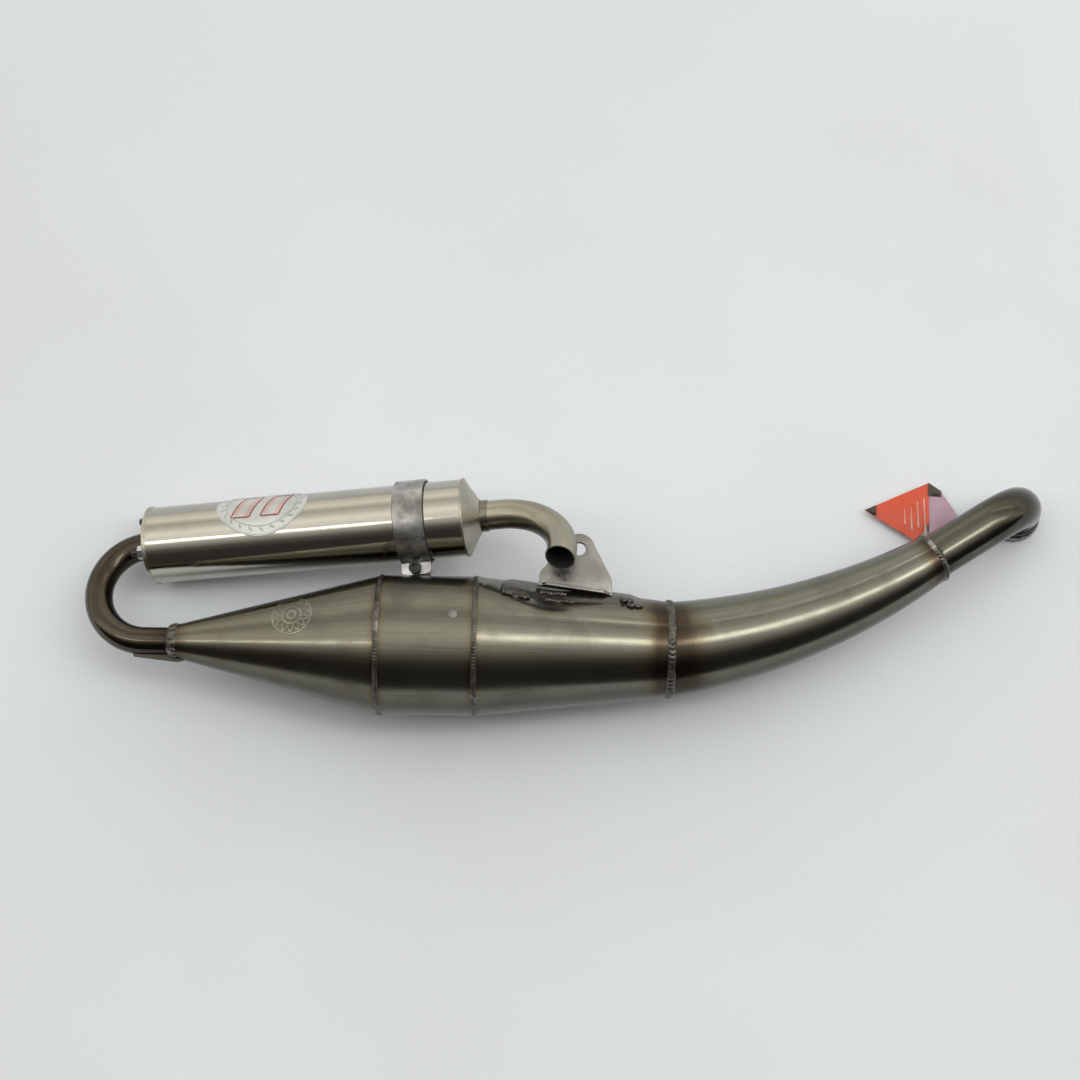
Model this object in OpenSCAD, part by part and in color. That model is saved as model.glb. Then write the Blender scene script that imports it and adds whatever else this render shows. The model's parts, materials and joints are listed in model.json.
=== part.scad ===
// Two-stroke racing exhaust: an expansion chamber with a clamped-on silencer.
// Frame: millimetres, +Z up. The origin is the centre of the header flange face,
// which lies on Z = 0. +X runs along the chamber towards the header end.
// The system lies on its side on a flat surface, as it would on a bench.

/* [Chamber] */
// Outer diameter of the belly, the widest part of the chamber
belly_d = 110; // [100:1:116]
// Length of the parallel belly
belly_len = 75; // [60:1:90]
// Length of the reverse (baffle) cone
baffle_len = 164; // [150:1:175]
// Length of the straight diffuser cone
cone_len = 152; // [140:1:165]
// Outer diameter where the straight cone meets the curved diffuser
throat_d = 75; // [70:1:80]
// Sheet thickness of the chamber
sheet_t = 1.2; // [0.8:0.1:1.6]

/* [Curved diffuser and header] */
// Length of the curved diffuser along its middle line
curve_len = 228; // [200:1:250]
// Heading of the curved diffuser at its wide end, from the chamber axis
curve_start_a = 8; // [4:0.5:10]
// Heading of the header pipe, from the chamber axis
header_a = 32.5; // [28:0.5:36]
// Outer diameter of the curved diffuser at its narrow end
curve_end_d = 39.4; // [39:0.2:42]
// Outer diameter of the header pipe
header_d = 36; // [34:0.5:38]
// Wall of the header pipe
header_t = 1.5; // [1.2:0.1:2]
// Straight length of the header pipe before its elbow
header_straight = 55; // [45:1:60]
// Middle-line radius of the header elbow
elbow_r = 42; // [36:1:44]
// Diameter of the round flange at the header's end
flange_d = 43; // [42:0.5:48]
// Thickness of the header flange
flange_t = 6; // [5:0.5:8]

/* [Stinger] */
// Outer diameter of the stinger tube
stinger_d = 22; // [20:0.5:22]
// Wall of the stinger tube
stinger_t = 1.5; // [1.2:0.1:2]
// How far the U-bend reaches past the silencer
bend_reach = 39; // [34:1:44]

/* [Silencer] */
// Outer diameter of the silencer sleeve
can_d = 62; // [58:1:64]
// Length of the silencer sleeve
can_len = 258; // [240:1:270]
// Rise of the silencer axis from the chamber axis, in degrees
can_pitch = 7.7; // [6:0.1:9]
// Turn of the silencer axis away from the chamber, in degrees
can_yaw = 4; // [3:0.1:5]
// Distance of the front cap from the chamber axis, across
can_offset = 85; // [84:1:90]

/* [Tail pipe] */
// Outer diameter of the tail pipe
tail_d = 23.5; // [22:0.5:24]
// Wall of the tail pipe
tail_t = 1.2; // [1:0.1:1.5]
// Middle-line radius of the tail bend
tail_bend_r = 50; // [44:1:52]
// Angle of the tail bend
tail_bend_a = 103; // [90:1:108]

/* [Bracket] */
// Thickness of the mounting bracket plate
bracket_t = 4; // [3:0.5:5]
// Diameter of the bracket hole
bracket_hole_d = 10.5; // [8.5:0.5:11]
// Height of the bracket plate's middle above the chamber axis
bracket_rise = 24; // [20:1:28]

/* [Hidden] */

$fn = 96;
eps = 0.5;

// --- Chamber stations, along the chamber axis from the rear belly weld ---
belly_r = belly_d / 2;
// The belly rests on the beads at its two ends
belly_bead = 1;
axis_z = belly_r + belly_bead;
throat_r = throat_d / 2;
cone_end = belly_len + cone_len;
collar_r = stinger_d / 2 + 1.6;
cone_slope = (belly_r - throat_r) / cone_len;

// --- Curved diffuser: one arc whose heading grows from start to end ---
curve_r = curve_len / ((header_a - curve_start_a) * PI / 180);
curve_end_r = curve_end_d / 2;
curve_end_x = cone_end + curve_r * (sin(header_a) - sin(curve_start_a));
curve_end_y = curve_r * (cos(curve_start_a) - cos(header_a));
header_r = header_d / 2;
// The flange lies under the end of the elbow
run_to_flange = header_straight + elbow_r;
flange_x = curve_end_x + run_to_flange * cos(header_a);
flange_y = curve_end_y + run_to_flange * sin(header_a);
header_drop = axis_z - elbow_r;
slip_len = 10;
flange_edge = 0.8;

// --- Silencer placing ---
can_r = can_d / 2;
cap_rim_r = can_r + 1;
can_front = [-191, can_offset, cap_rim_r * cos(can_pitch)];
can_dir = [
    cos(can_pitch) * cos(can_yaw),
    cos(can_pitch) * sin(can_yaw),
    sin(can_pitch)
];
run_gap = 0.3;
core_r = 13;
core_t = 1;
clamp_x = 217;
clamp_w = 24;
liner_t = 1;
band_t = 1.5;
band_in_r = can_r + run_gap + liner_t;
band_out_r = band_in_r + band_t;
ear_reach = 10;
ear_t = 2.5;
tab_t = 3;
ear_bolt_r = band_out_r + 5.5;
rear_cone_len = 13;
rear_neck_r = tail_d / 2 + 0.6;
tail_start = can_len - 2;
tail_straight = 31;
// Turn of the tail bend about the silencer axis, from straight up towards the chamber
tail_roll = 54;
cap_t = 3;
stud_circle_r = 21;
stud_r = 3;
nut_h = 5;

// --- Bracket ---
hole_at = [155, 74];
bracket_z = axis_z + bracket_rise;

// ---------------------------------------------------------------- helpers
module in_frame() translate([-flange_x, -flange_y, 0]) children();

// Local Z runs along the chamber axis, towards the header
module on_chamber(x = 0)
    in_frame() translate([x, 0, axis_z]) rotate([0, 90, 0]) children();

// Local Z runs along the header pipe, from the end of the curved diffuser
module on_header()
    in_frame() translate([curve_end_x, curve_end_y, axis_z])
        rotate([0, 90, header_a]) children();

// Local X runs along the silencer axis, from the front cap to the tail
module on_can()
    in_frame() translate(can_front) rotate([0, -can_pitch, can_yaw]) children();

module along_x(x = 0) translate([x, 0, 0]) rotate([0, 90, 0]) children();

module ring(len, r_out, r_in)
    difference() {
        cylinder(h = len, r = r_out);
        translate([0, 0, -eps]) cylinder(h = len + 2 * eps, r = r_in);
    }

// A cone of sheet metal, t thick, from radius r0 to radius r1
module cone_shell(len, r0, r1, t)
    rotate_extrude()
        polygon([[r0 - t, 0], [r0, 0], [r1, len], [r1 - t, len]]);

// A round bead over a butt joint: the sheet falls away to each side at its own slope
module bead(r, half_w, proud, slope_a, slope_b)
    rotate_extrude()
        polygon(concat(
            [[r - 0.3 - slope_a * half_w, -half_w], [r - 0.6, 0], [r - 0.3 - slope_b * half_w, half_w]],
            [for (i = [1:7]) let (a = i * 22.5)
                [r - slope_b * half_w * max(0, cos(a)) - slope_a * half_w * max(0, -cos(a))
                    + proud * sin(a), half_w * cos(a)]]
        ));

// --- Sweeps: rings of points along a path, joined into one closed tube ---
function unit(v) = v / norm(v);
function path_dir(p, i) = unit(p[min(i + 1, len(p) - 1)] - p[max(i - 1, 0)]);

function ring_at(p, dir, side_ref, r, sides) =
    let (u = unit(cross(side_ref, dir)), v = cross(dir, u))
    [for (k = [0:sides - 1]) p + r * (cos(360 * k / sides) * u + sin(360 * k / sides) * v)];

// One wall of a tube, as faces between ring i and ring i + 1
function wall_faces(rings, sides, from, flip) = [
    for (i = [0:rings - 2], k = [0:sides - 1])
        let (
            a = from + i * sides + k,
            b = from + i * sides + (k + 1) % sides,
            q = [a, b, b + sides, a + sides]
        )
        flip ? [q[3], q[2], q[1], q[0]] : q
];

// The ring-shaped end between the outer wall and the inner wall
function end_faces(sides, outer, inner, flip) = [
    for (k = [0:sides - 1])
        let (n = (k + 1) % sides, q = [outer + k, inner + k, inner + n, outer + n])
        flip ? [q[3], q[2], q[1], q[0]] : q
];

module swept_tube(path, dirs, r_out, r_in, side_ref, sides) {
    rings = len(path);
    outer = [for (i = [0:rings - 1]) each ring_at(path[i], dirs[i], side_ref, r_out[i], sides)];
    inner = [for (i = [0:rings - 1]) each ring_at(path[i], dirs[i], side_ref, r_in[i], sides)];
    half = rings * sides;
    polyhedron(
        points = concat(outer, inner),
        faces = concat(
            wall_faces(rings, sides, 0, false),
            wall_faces(rings, sides, half, true),
            end_faces(sides, 0, half, false),
            end_faces(sides, half - sides, 2 * half - sides, true)
        ),
        convexity = 6
    );
}

// ------------------------------------------------------------- header end
// Round flange that a loose clamp presses against the cylinder's port
module header_flange()
    color("dimgray")
        rotate_extrude()
            polygon([
                [header_r, 0], [flange_d / 2 - flange_edge, 0], [flange_d / 2, flange_edge],
                [flange_d / 2, flange_t - flange_edge], [flange_d / 2 - flange_edge, flange_t],
                [header_r, flange_t]
            ]);

// A quarter or more of a ring-shaped tube, in the XY plane
module bent_tube(bend_r, a, r_out, r_in)
    difference() {
        rotate_extrude(angle = a) translate([bend_r, 0]) circle(r = r_out);
        rotate_extrude(angle = a) translate([bend_r, 0]) circle(r = r_in);
    }

// The header pipe is three runs in line: it leaves the curved diffuser level,
module header_tube()
    color([0.33, 0.31, 0.27]) on_header() translate([0, 0, -slip_len])
        ring(header_straight + slip_len, header_r, header_r - header_t);

// turns down through a right angle,
module header_elbow()
    color([0.33, 0.31, 0.27]) rotate([0, 0, header_a])
        translate([-elbow_r, 0, header_drop]) rotate([90, 0, 0])
            bent_tube(elbow_r, 90, header_r, header_r - header_t);

// and stands in the flange
module header_leg()
    color([0.33, 0.31, 0.27]) ring(header_drop, header_r, header_r - header_t);

module flange_weld()
    color([0.42, 0.38, 0.33]) translate([0, 0, flange_t])
        rotate_extrude()
            polygon([[header_r, 0], [header_r + 2.6, 0], [header_r + 2, 1.4],
                [header_r + 1, 2.5], [header_r, 3]]);

module header_weld()
    color([0.45, 0.42, 0.36]) on_header() translate([0, 0, -1.5])
        rotate_extrude()
            polygon([[curve_end_r - 0.3, -1.5], [curve_end_r + 1.1, -0.6], [curve_end_r + 1.5, 0.8],
                [curve_end_r + 0.8, 2.6], [header_r + 0.9, 4.4], [header_r - 0.2, 5],
                [header_r - 0.2, 1.6], [curve_end_r - 0.3, 1.4]]);

// --------------------------------------------------------------- chamber
// Point of the curved diffuser's middle line, at fraction f of its length
function curve_point(f) =
    let (a = curve_start_a + f * (header_a - curve_start_a))
    [
        cone_end + curve_r * (sin(a) - sin(curve_start_a)),
        curve_r * (cos(curve_start_a) - cos(a)),
        axis_z
    ];
function curve_dir(f) =
    let (a = f <= 0 ? 0 : curve_start_a + f * (header_a - curve_start_a))
    [cos(a), sin(a), 0];
// The taper is steeper at first and eases towards the header
function curve_radius(f) = throat_r + (curve_end_r - throat_r) * (0.8 * f + 0.2 * f * f);

module curved_diffuser() {
    steps = 22;
    fs = [for (i = [0:steps]) i / steps];
    radii = [for (f = fs) curve_radius(f)];
    color([0.53, 0.5, 0.43]) in_frame()
        swept_tube(
            [for (f = fs) curve_point(f)],
            [for (f = fs) curve_dir(f)],
            radii,
            [for (r = radii) r - sheet_t],
            [0, 0, 1],
            48
        );
}

module throat_weld()
    color([0.4, 0.37, 0.32]) on_chamber(cone_end) bead(throat_r, 3.2, 2.2, -cone_slope, 0.04);

module diffuser_cone()
    color([0.55, 0.53, 0.46]) on_chamber(belly_len)
        cone_shell(cone_len, belly_r, throat_r, sheet_t);

module cone_weld()
    color([0.42, 0.39, 0.33]) on_chamber(belly_len) bead(belly_r, 2.2, belly_bead, 0, cone_slope);

module belly()
    color([0.56, 0.54, 0.47]) on_chamber() cone_shell(belly_len, belly_r, belly_r, sheet_t);

baffle_slope = (belly_r - collar_r) / baffle_len;

module belly_weld()
    color([0.42, 0.39, 0.33]) on_chamber() bead(belly_r, 2.2, belly_bead, baffle_slope, 0);

module baffle_cone()
    color([0.52, 0.5, 0.43]) on_chamber(-baffle_len)
        cone_shell(baffle_len, collar_r, belly_r, sheet_t);

// --------------------------------------------------------------- stinger
module collar_weld()
    color([0.36, 0.32, 0.26]) on_chamber(-baffle_len)
        rotate_extrude()
            polygon([[stinger_d / 2, -4.5], [stinger_d / 2 + 1.6, -4], [collar_r + 1.1, -2],
                [collar_r + 1.7, 0.4], [collar_r + 1.9, 2.2], [collar_r + 1.1, 3.6],
                [collar_r, 0], [stinger_d / 2, 0]]);

// Inside the baffle cone the stinger goes on as a straight tube
module inner_stinger()
    color([0.4, 0.37, 0.31]) on_chamber(-baffle_len + 3)
        ring(46, stinger_d / 2, stinger_d / 2 - stinger_t);

// The U-bend starts level with the chamber axis and ends in line with the silencer
bend_start = [-187, 0, axis_z];
bend_end = can_front - 4 * can_dir;
function bend_point(a) =
    let (
        middle = (bend_start + bend_end) / 2,
        half = (bend_end - bend_start) / 2,
        out = (1 - a / 180) * [-1, 0, 0] - a / 180 * can_dir
    )
    middle - half * cos(a) + bend_reach * sin(a) * unit(out);

stinger_in = 24;

module stinger_pipe() {
    path = concat(
        [[-baffle_len + 3, 0, axis_z], [-baffle_len - 10, 0, axis_z]],
        [for (a = [0:7.5:180]) bend_point(a)],
        [can_front, can_front + stinger_in * can_dir]
    );
    last = len(path) - 1;
    dirs = [for (i = [0:last]) i < 2 ? [-1, 0, 0] : i > last - 2 ? can_dir : path_dir(path, i)];
    plane = unit(cross(can_front - bend_start, [-1, 0, 0]));
    color([0.35, 0.29, 0.22]) in_frame()
        swept_tube(
            path, dirs,
            [for (p = path) stinger_d / 2],
            [for (p = path) stinger_d / 2 - stinger_t],
            plane, 32
        );
}

// A flat stay between the stinger and the cone, on the side away from the silencer
module stinger_gusset()
    color([0.4, 0.37, 0.31]) in_frame() translate([0, 0, axis_z - 1])
        difference() {
            linear_extrude(2)
                polygon([[-196, -9], [-194, -13], [-160, -16.8], [-152, -15.2], [-152, -8]]);
            translate([0, 0, 1]) rotate([0, -90, 0]) cylinder(h = 230, r = stinger_d / 2);
            translate([-baffle_len, 0, 1]) rotate([0, 90, 0])
                cylinder(h = baffle_len, r1 = collar_r, r2 = belly_r);
            translate([-baffle_len - 4.6, 0, 1]) rotate([0, 90, 0])
                cylinder(h = 8.4, r = collar_r + 2);
        }

// --------------------------------------------------------------- bracket
// Plate outline seen from above: a foot along the cone and a lug round the hole
module bracket_plate() {
    foot = [[121, 40], [182, 36]];
    lug_r = 12.5;
    color([0.6, 0.6, 0.57]) in_frame()
        difference() {
            union() {
                translate([0, 0, bracket_z - bracket_t / 2])
                    linear_extrude(bracket_t)
                        polygon([
                            foot[0], foot[1], [180.5, 52], [174, 68],
                            hole_at + lug_r * [cos(28), sin(28)],
                            hole_at + lug_r * [cos(60), sin(60)],
                            hole_at + lug_r * [cos(95), sin(95)],
                            hole_at + lug_r * [cos(130), sin(130)],
                            hole_at + lug_r * [cos(152), sin(152)],
                            [126, 51]
                        ]);
                // The turned-up edge of the foot
                translate([0, 0, bracket_z - bracket_t / 2])
                    linear_extrude(9)
                        polygon([[121, 40], [182, 36], [182, 39], [121, 43.4]]);
            }
            translate([hole_at[0], hole_at[1], 0]) cylinder(h = 2 * belly_d, d = bracket_hole_d);
            // The foot is cut to the cone and its doubler
            translate([belly_len, 0, axis_z]) rotate([0, 90, 0])
                cylinder(h = cone_len, r1 = belly_r + doubler_t, r2 = throat_r + doubler_t);
        }
}

doubler_t = 2;
doubler_from = 95;
doubler_to = 204;
doubler_a = 17;
bracket_a = atan(bracket_rise / 38);

// A curved strip that spreads the bracket's load over the cone
module bracket_doubler()
    color([0.5, 0.48, 0.42]) on_chamber()
        rotate([0, 0, 90 + bracket_a - doubler_a])
            rotate_extrude(angle = 2 * doubler_a)
                polygon([
                    [doubler_r(doubler_from), doubler_from], [doubler_r(doubler_to), doubler_to],
                    [doubler_r(doubler_to - 3) + doubler_t, doubler_to - 3],
                    [doubler_r(doubler_from + 3) + doubler_t, doubler_from + 3]
                ]);
function doubler_r(x) = belly_r - cone_slope * (x - belly_len);

// Short stitches along the doubler, and a row of spots where the foot meets it
module bracket_weld()
    color([0.36, 0.34, 0.3]) in_frame() {
        for (x = [100, 108, 190, 198]) stitch(x, doubler_a - 2);
        for (x = [127:6:176]) stitch(x, 5);
    }

// A weld spot on the doubler at station x, turned a degrees up from the bracket plate
module stitch(x, a)
    translate([x, 0, axis_z]) rotate([bracket_a + a - 90, 0, 0])
        translate([0, 0, doubler_r(x) + doubler_t]) sphere(r = doubler_t - 0.1, $fn = 20);

// ----------------------------------------------------------------- clamp
// Direction from the silencer axis to the chamber axis, at the clamp
clamp_at = can_front + clamp_x * can_dir;
clamp_roll = 90 + atan2(clamp_at[2] - axis_z, clamp_at[1]);

// Local Z runs from the silencer axis towards the chamber
module at_clamp() on_can() translate([clamp_x, 0, 0]) rotate([clamp_roll, 0, 0]) children();

module clamp_ears(r)
    for (side = [0, 1])
        mirror([0, side, 0])
            translate([-clamp_w / 2, tab_t / 2, r])
                cube([clamp_w, ear_t, ear_reach]);

module clamp_band()
    color([0.5, 0.5, 0.5]) at_clamp()
        difference() {
            union() {
                along_x(-clamp_w / 2) ring(clamp_w, band_out_r, band_in_r);
                clamp_ears(band_out_r - 1);
            }
            translate([-clamp_w, -tab_t / 2, 0]) cube([2 * clamp_w, tab_t, 2 * band_out_r]);
            translate([0, 20, ear_bolt_r]) rotate([90, 0, 0]) cylinder(h = 40, r = stud_r + 0.25);
        }

module clamp_liner()
    color([0.12, 0.12, 0.12]) at_clamp()
        difference() {
            along_x(-clamp_w / 2) ring(clamp_w, band_in_r, can_r + run_gap);
            translate([-clamp_w, -tab_t / 2, 0]) cube([2 * clamp_w, tab_t, 2 * band_out_r]);
        }

// Tab on the belly that the clamp's ears hold between them
module belly_tab()
    color([0.5, 0.48, 0.42])
        difference() {
            at_clamp() difference() {
                translate([-11, -tab_t / 2, band_out_r + 1.5]) cube([22, tab_t, 22]);
                translate([0, 20, ear_bolt_r]) rotate([90, 0, 0]) cylinder(h = 40, r = stud_r + 0.25);
            }
            on_chamber(-20) cylinder(h = 120, r = belly_r);
        }

module tab_weld()
    color([0.36, 0.34, 0.3])
        difference() {
            at_clamp() for (side = [-1, 1])
                translate([-11, side * (tab_t / 2), belly_gap_r]) rotate([0, 90, 0])
                    cylinder(h = 22, r = 1.9);
            at_clamp() translate([-12, -tab_t / 2, band_out_r]) cube([24, tab_t, 30]);
            on_chamber(-20) cylinder(h = 120, r = belly_r);
        }
belly_gap_r = norm([clamp_at[1], clamp_at[2] - axis_z]) - belly_r;

module ear_bolt_axis() at_clamp() translate([0, 0, ear_bolt_r]) rotate([-90, 0, 0]) children();

// Hexagon of width w across its flats
module hexagon(h, w) cylinder(h = h, d = w / cos(30), $fn = 6);

ear_top = tab_t / 2 + ear_t;
washer_t = 1.4;

module clamp_bolt()
    color([0.1, 0.1, 0.1]) ear_bolt_axis() {
        translate([0, 0, -ear_top - washer_t - 9]) cylinder(h = 2 * ear_top + 2 * washer_t + 9, r = stud_r);
        translate([0, 0, ear_top + washer_t]) cylinder(h = 5.5, r = 5);
    }

module clamp_nut()
    color([0.25, 0.25, 0.25]) ear_bolt_axis() translate([0, 0, -ear_top - washer_t - nut_h])
        difference() {
            hexagon(nut_h, 10);
            translate([0, 0, -eps]) cylinder(h = nut_h + 2 * eps, r = stud_r);
        }

module clamp_washers()
    color([0.3, 0.3, 0.3]) ear_bolt_axis()
        for (z = [-ear_top - washer_t, ear_top])
            translate([0, 0, z]) ring(washer_t, 5.2, stud_r);

// -------------------------------------------------------------- silencer
module can_sleeve()
    color([0.78, 0.77, 0.73]) on_can() along_x(cap_t) ring(can_len - cap_t, can_r, can_r - 1);

module cap_points(r)
    for (a = [0, 120, 240]) rotate([a, 0, 0]) translate([0, r, 0]) rotate([0, 90, 0]) children();

module front_cap()
    color([0.7, 0.69, 0.65]) on_can()
        difference() {
            along_x()
                rotate_extrude()
                    polygon([
                        [stinger_d / 2 + 2, 0], [cap_rim_r - 1.2, 0], [cap_rim_r, 1.2],
                        [cap_rim_r, cap_t], [can_r - 1, cap_t], [can_r - 1, cap_t + 7],
                        [can_r - 2.2, cap_t + 7], [can_r - 2.2, cap_t], [stinger_d / 2 + 2, cap_t]
                    ]);
            cap_points(stud_circle_r) translate([0, 0, -eps]) cylinder(h = cap_t + 2 * eps, r = stud_r);
        }

// Short spigot that holds the core tube and slides over the stinger
module inlet_collar()
    color([0.6, 0.58, 0.53]) on_can() along_x(-2)
        rotate_extrude()
            polygon([
                [stinger_d / 2 + run_gap, 0], [stinger_d / 2 + 3.5, 0], [stinger_d / 2 + 3.5, 2],
                [stinger_d / 2 + 2, 2], [stinger_d / 2 + 2, 20], [stinger_d / 2 + run_gap, 20]
            ]);

module cap_studs()
    color([0.3, 0.3, 0.3]) on_can() cap_points(stud_circle_r)
        translate([0, 0, -12]) cylinder(h = 21, r = stud_r);

module cap_nuts()
    color([0.6, 0.6, 0.58]) on_can() cap_points(stud_circle_r)
        translate([0, 0, -washer_t - nut_h]) difference() {
            hexagon(nut_h, 10);
            translate([0, 0, -eps]) cylinder(h = nut_h + 2 * eps, r = stud_r);
        }

module cap_washers()
    color([0.55, 0.55, 0.53]) on_can() cap_points(stud_circle_r)
        translate([0, 0, -washer_t]) ring(washer_t, 6, stud_r);

core_from = 10;
core_to = can_len + 4;
holes_along = 9;
hole_step = 24;

module core_tube()
    color([0.6, 0.6, 0.58]) on_can()
        difference() {
            along_x(core_from) ring(core_to - core_from, core_r + core_t, core_r);
            for (i = [0:holes_along - 1], k = [0, 1])
                translate([34 + hole_step * i, 0, 0]) rotate([90 * k + (i % 2) * 45, 0, 0])
                    translate([0, 0, -20]) cylinder(h = 40, r = 2.5, $fn = 24);
        }

module packing()
    color([0.9, 0.88, 0.78]) on_can() along_x(cap_t + 8)
        ring(can_len - cap_t - 17, can_r - 1.6, core_r + core_t + 0.3);

// Rolled rim over the sleeve, then a short cone down to the tail pipe
module rear_cap()
    color([0.62, 0.6, 0.52]) on_can() along_x(can_len)
        rotate_extrude()
            polygon([
                [can_r - 1, -7], [can_r - 1, 0], [can_r + 0.6, 0], [can_r + 0.8, 1.2],
                [can_r, 2.2], [rear_neck_r + 0.8, rear_cone_len], [tail_d / 2, rear_cone_len],
                [tail_d / 2, rear_cone_len - 2.5], [can_r - 2.4, 1], [can_r - 2.4, -7]
            ]);

module tail_collar()
    color([0.66, 0.63, 0.54]) on_can() along_x(can_len + rear_cone_len)
        ring(6, tail_d / 2 + 1, tail_d / 2);

// The tail pipe leaves the rear cap in line with the silencer, then bends over and down
module tail_pipe()
    color([0.66, 0.62, 0.52]) on_can() along_x(tail_start)
        ring(tail_straight, tail_d / 2, tail_d / 2 - tail_t);

module tail_bend()
    color([0.66, 0.62, 0.52]) on_can() rotate([tail_roll, 0, 0])
        translate([tail_start + tail_straight, 0, tail_bend_r])
            rotate([90, 0, 0]) rotate([0, 0, -90])
                bent_tube(tail_bend_r, tail_bend_a, tail_d / 2, tail_d / 2 - tail_t);

badge_x = 98;
badge_l = 74;
badge_w = 50;
badge_t = 0.5;
badge_tilt = 36;

// Oval plate that follows the sleeve, facing up and outwards
module badge()
    color([0.85, 0.85, 0.85]) on_can()
        intersection() {
            along_x(badge_x - badge_l / 2 - 2) ring(badge_l + 4, can_r + badge_t, can_r);
            translate([badge_x, 0, 0]) rotate([-badge_tilt, 0, 0]) translate([0, 0, 5])
                scale([badge_l, badge_l, 1]) linear_extrude(can_r) oval(badge_w / badge_l);
        }

module oval(ratio)
    polygon([for (a = [0:6:354]) [0.5 * cos(a), 0.5 * ratio * sin(a)]]);

// ------------------------------------------------------------------- tag
// Folded card tag that lies under the header pipe, tied to the pipe above its flange
tag_t = 0.8;
tag_z = 6;
tag_hole = [467, 120];

module hang_tag()
    color([0.85, 0.3, 0.16]) in_frame() translate([0, 0, tag_z])
        difference() {
            linear_extrude(tag_t)
                polygon([[396, 133], [450, 157], [461, 150], [477, 124], [467, 112], [438, 106]]);
            translate([tag_hole[0], tag_hole[1], -eps]) cylinder(h = 2, r = 2);
        }

tie_w = 2.6;
tie_t = 1.2;
tie_z = 10.8;

// A nylon tie: a ring round the pipe above its flange, and a strap out to the tag's hole
module tag_tie()
    color([0.1, 0.1, 0.1]) in_frame() {
        reach = norm([flange_x - tag_hole[0], flange_y - tag_hole[1]]);
        translate([flange_x, flange_y, tie_z]) ring(tie_w, header_r + tie_t, header_r);
        translate([tag_hole[0], tag_hole[1], 0])
            rotate([0, 0, atan2(flange_y - tag_hole[1], flange_x - tag_hole[0])]) {
                translate([-tie_t / 2, -tie_t / 2, tag_z - 2]) cube([tie_t, tie_t, tie_z + tie_w - tag_z + 2]);
                translate([-tie_t / 2, -tie_t / 2, tie_z])
                    cube([reach - header_r, tie_t, tie_w]);
            }
    }

header_flange();
header_leg();
header_elbow();
header_tube();
flange_weld();
header_weld();
curved_diffuser();
throat_weld();
diffuser_cone();
cone_weld();
belly();
belly_weld();
baffle_cone();
collar_weld();
stinger_pipe();
stinger_gusset();
inner_stinger();
bracket_plate();
bracket_doubler();
bracket_weld();
belly_tab();
tab_weld();
clamp_band();
clamp_liner();
clamp_bolt();
clamp_nut();
clamp_washers();
can_sleeve();
front_cap();
inlet_collar();
cap_studs();
cap_nuts();
cap_washers();
core_tube();
packing();
rear_cap();
tail_collar();
tail_pipe();
tail_bend();
badge();
hang_tag();
tag_tie();
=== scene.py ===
"""The looks of a two-stroke racing exhaust: an expansion chamber with a clamped-on silencer.

Lengths are in metres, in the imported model's own frame. Each visible piece is built here as a fine mesh
from the frame's boxes, mounts and joint, and stands for the CAD node of the same place and size.
"""
import json
import math
import random

import bmesh
import bpy
from mathutils import Matrix, Vector


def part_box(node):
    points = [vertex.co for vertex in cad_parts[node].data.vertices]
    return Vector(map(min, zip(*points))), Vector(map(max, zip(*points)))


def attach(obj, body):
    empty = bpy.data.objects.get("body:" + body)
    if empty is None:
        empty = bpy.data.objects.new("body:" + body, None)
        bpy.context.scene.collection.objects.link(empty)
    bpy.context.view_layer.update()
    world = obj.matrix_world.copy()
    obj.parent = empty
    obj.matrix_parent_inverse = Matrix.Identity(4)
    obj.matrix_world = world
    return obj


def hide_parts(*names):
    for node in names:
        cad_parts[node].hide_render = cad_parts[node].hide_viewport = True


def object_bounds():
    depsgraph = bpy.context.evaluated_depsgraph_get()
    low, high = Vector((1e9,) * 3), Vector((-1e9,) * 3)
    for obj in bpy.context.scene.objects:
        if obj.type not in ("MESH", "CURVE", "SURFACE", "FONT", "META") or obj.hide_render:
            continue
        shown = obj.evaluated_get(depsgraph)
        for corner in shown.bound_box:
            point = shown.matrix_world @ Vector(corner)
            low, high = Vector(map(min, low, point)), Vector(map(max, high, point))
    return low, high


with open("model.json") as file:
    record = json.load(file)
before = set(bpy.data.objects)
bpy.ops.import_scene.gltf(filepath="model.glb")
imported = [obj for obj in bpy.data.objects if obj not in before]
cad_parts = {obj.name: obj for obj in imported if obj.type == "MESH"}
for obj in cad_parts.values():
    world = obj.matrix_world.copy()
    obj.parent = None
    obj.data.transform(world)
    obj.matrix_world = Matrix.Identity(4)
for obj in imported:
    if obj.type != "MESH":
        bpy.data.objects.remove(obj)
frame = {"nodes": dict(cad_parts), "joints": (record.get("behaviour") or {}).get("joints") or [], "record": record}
cad_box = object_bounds()
RECORD = frame["record"]
MM = 0.001
CHAMBER, SILENCER = "chamber", "silencer"

# ------------------------------------------------------------------ places from the frame
BELLY_LO, BELLY_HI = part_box("belly")
AXIS_Y = (BELLY_LO.y + BELLY_HI.y) / 2
AXIS_Z = (BELLY_LO.z + BELLY_HI.z) / 2
BELLY_R = 55 * MM
BELLY_LEN = BELLY_HI.x - BELLY_LO.x
BAFFLE_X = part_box("baffle_cone")[0].x - BELLY_LO.x
THROAT_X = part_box("diffuser_cone")[1].x - BELLY_LO.x
THROAT_R = 37.5 * MM
COLLAR_R = 12.6 * MM
SHEET = 1.2 * MM
STINGER_R = 11 * MM
STINGER_BEND_X = -187 * MM
HEADER_R = 18 * MM
CURVE_LEN = 228 * MM
CURVE_START, CURVE_END = math.radians(8), math.radians(32.5)
CURVE_END_R = 19.7 * MM
HEADER_STRAIGHT, ELBOW_R = 55 * MM, 42 * MM
FLANGE_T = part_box("header_flange")[1].z
FLANGE_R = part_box("header_flange")[1].x

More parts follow.
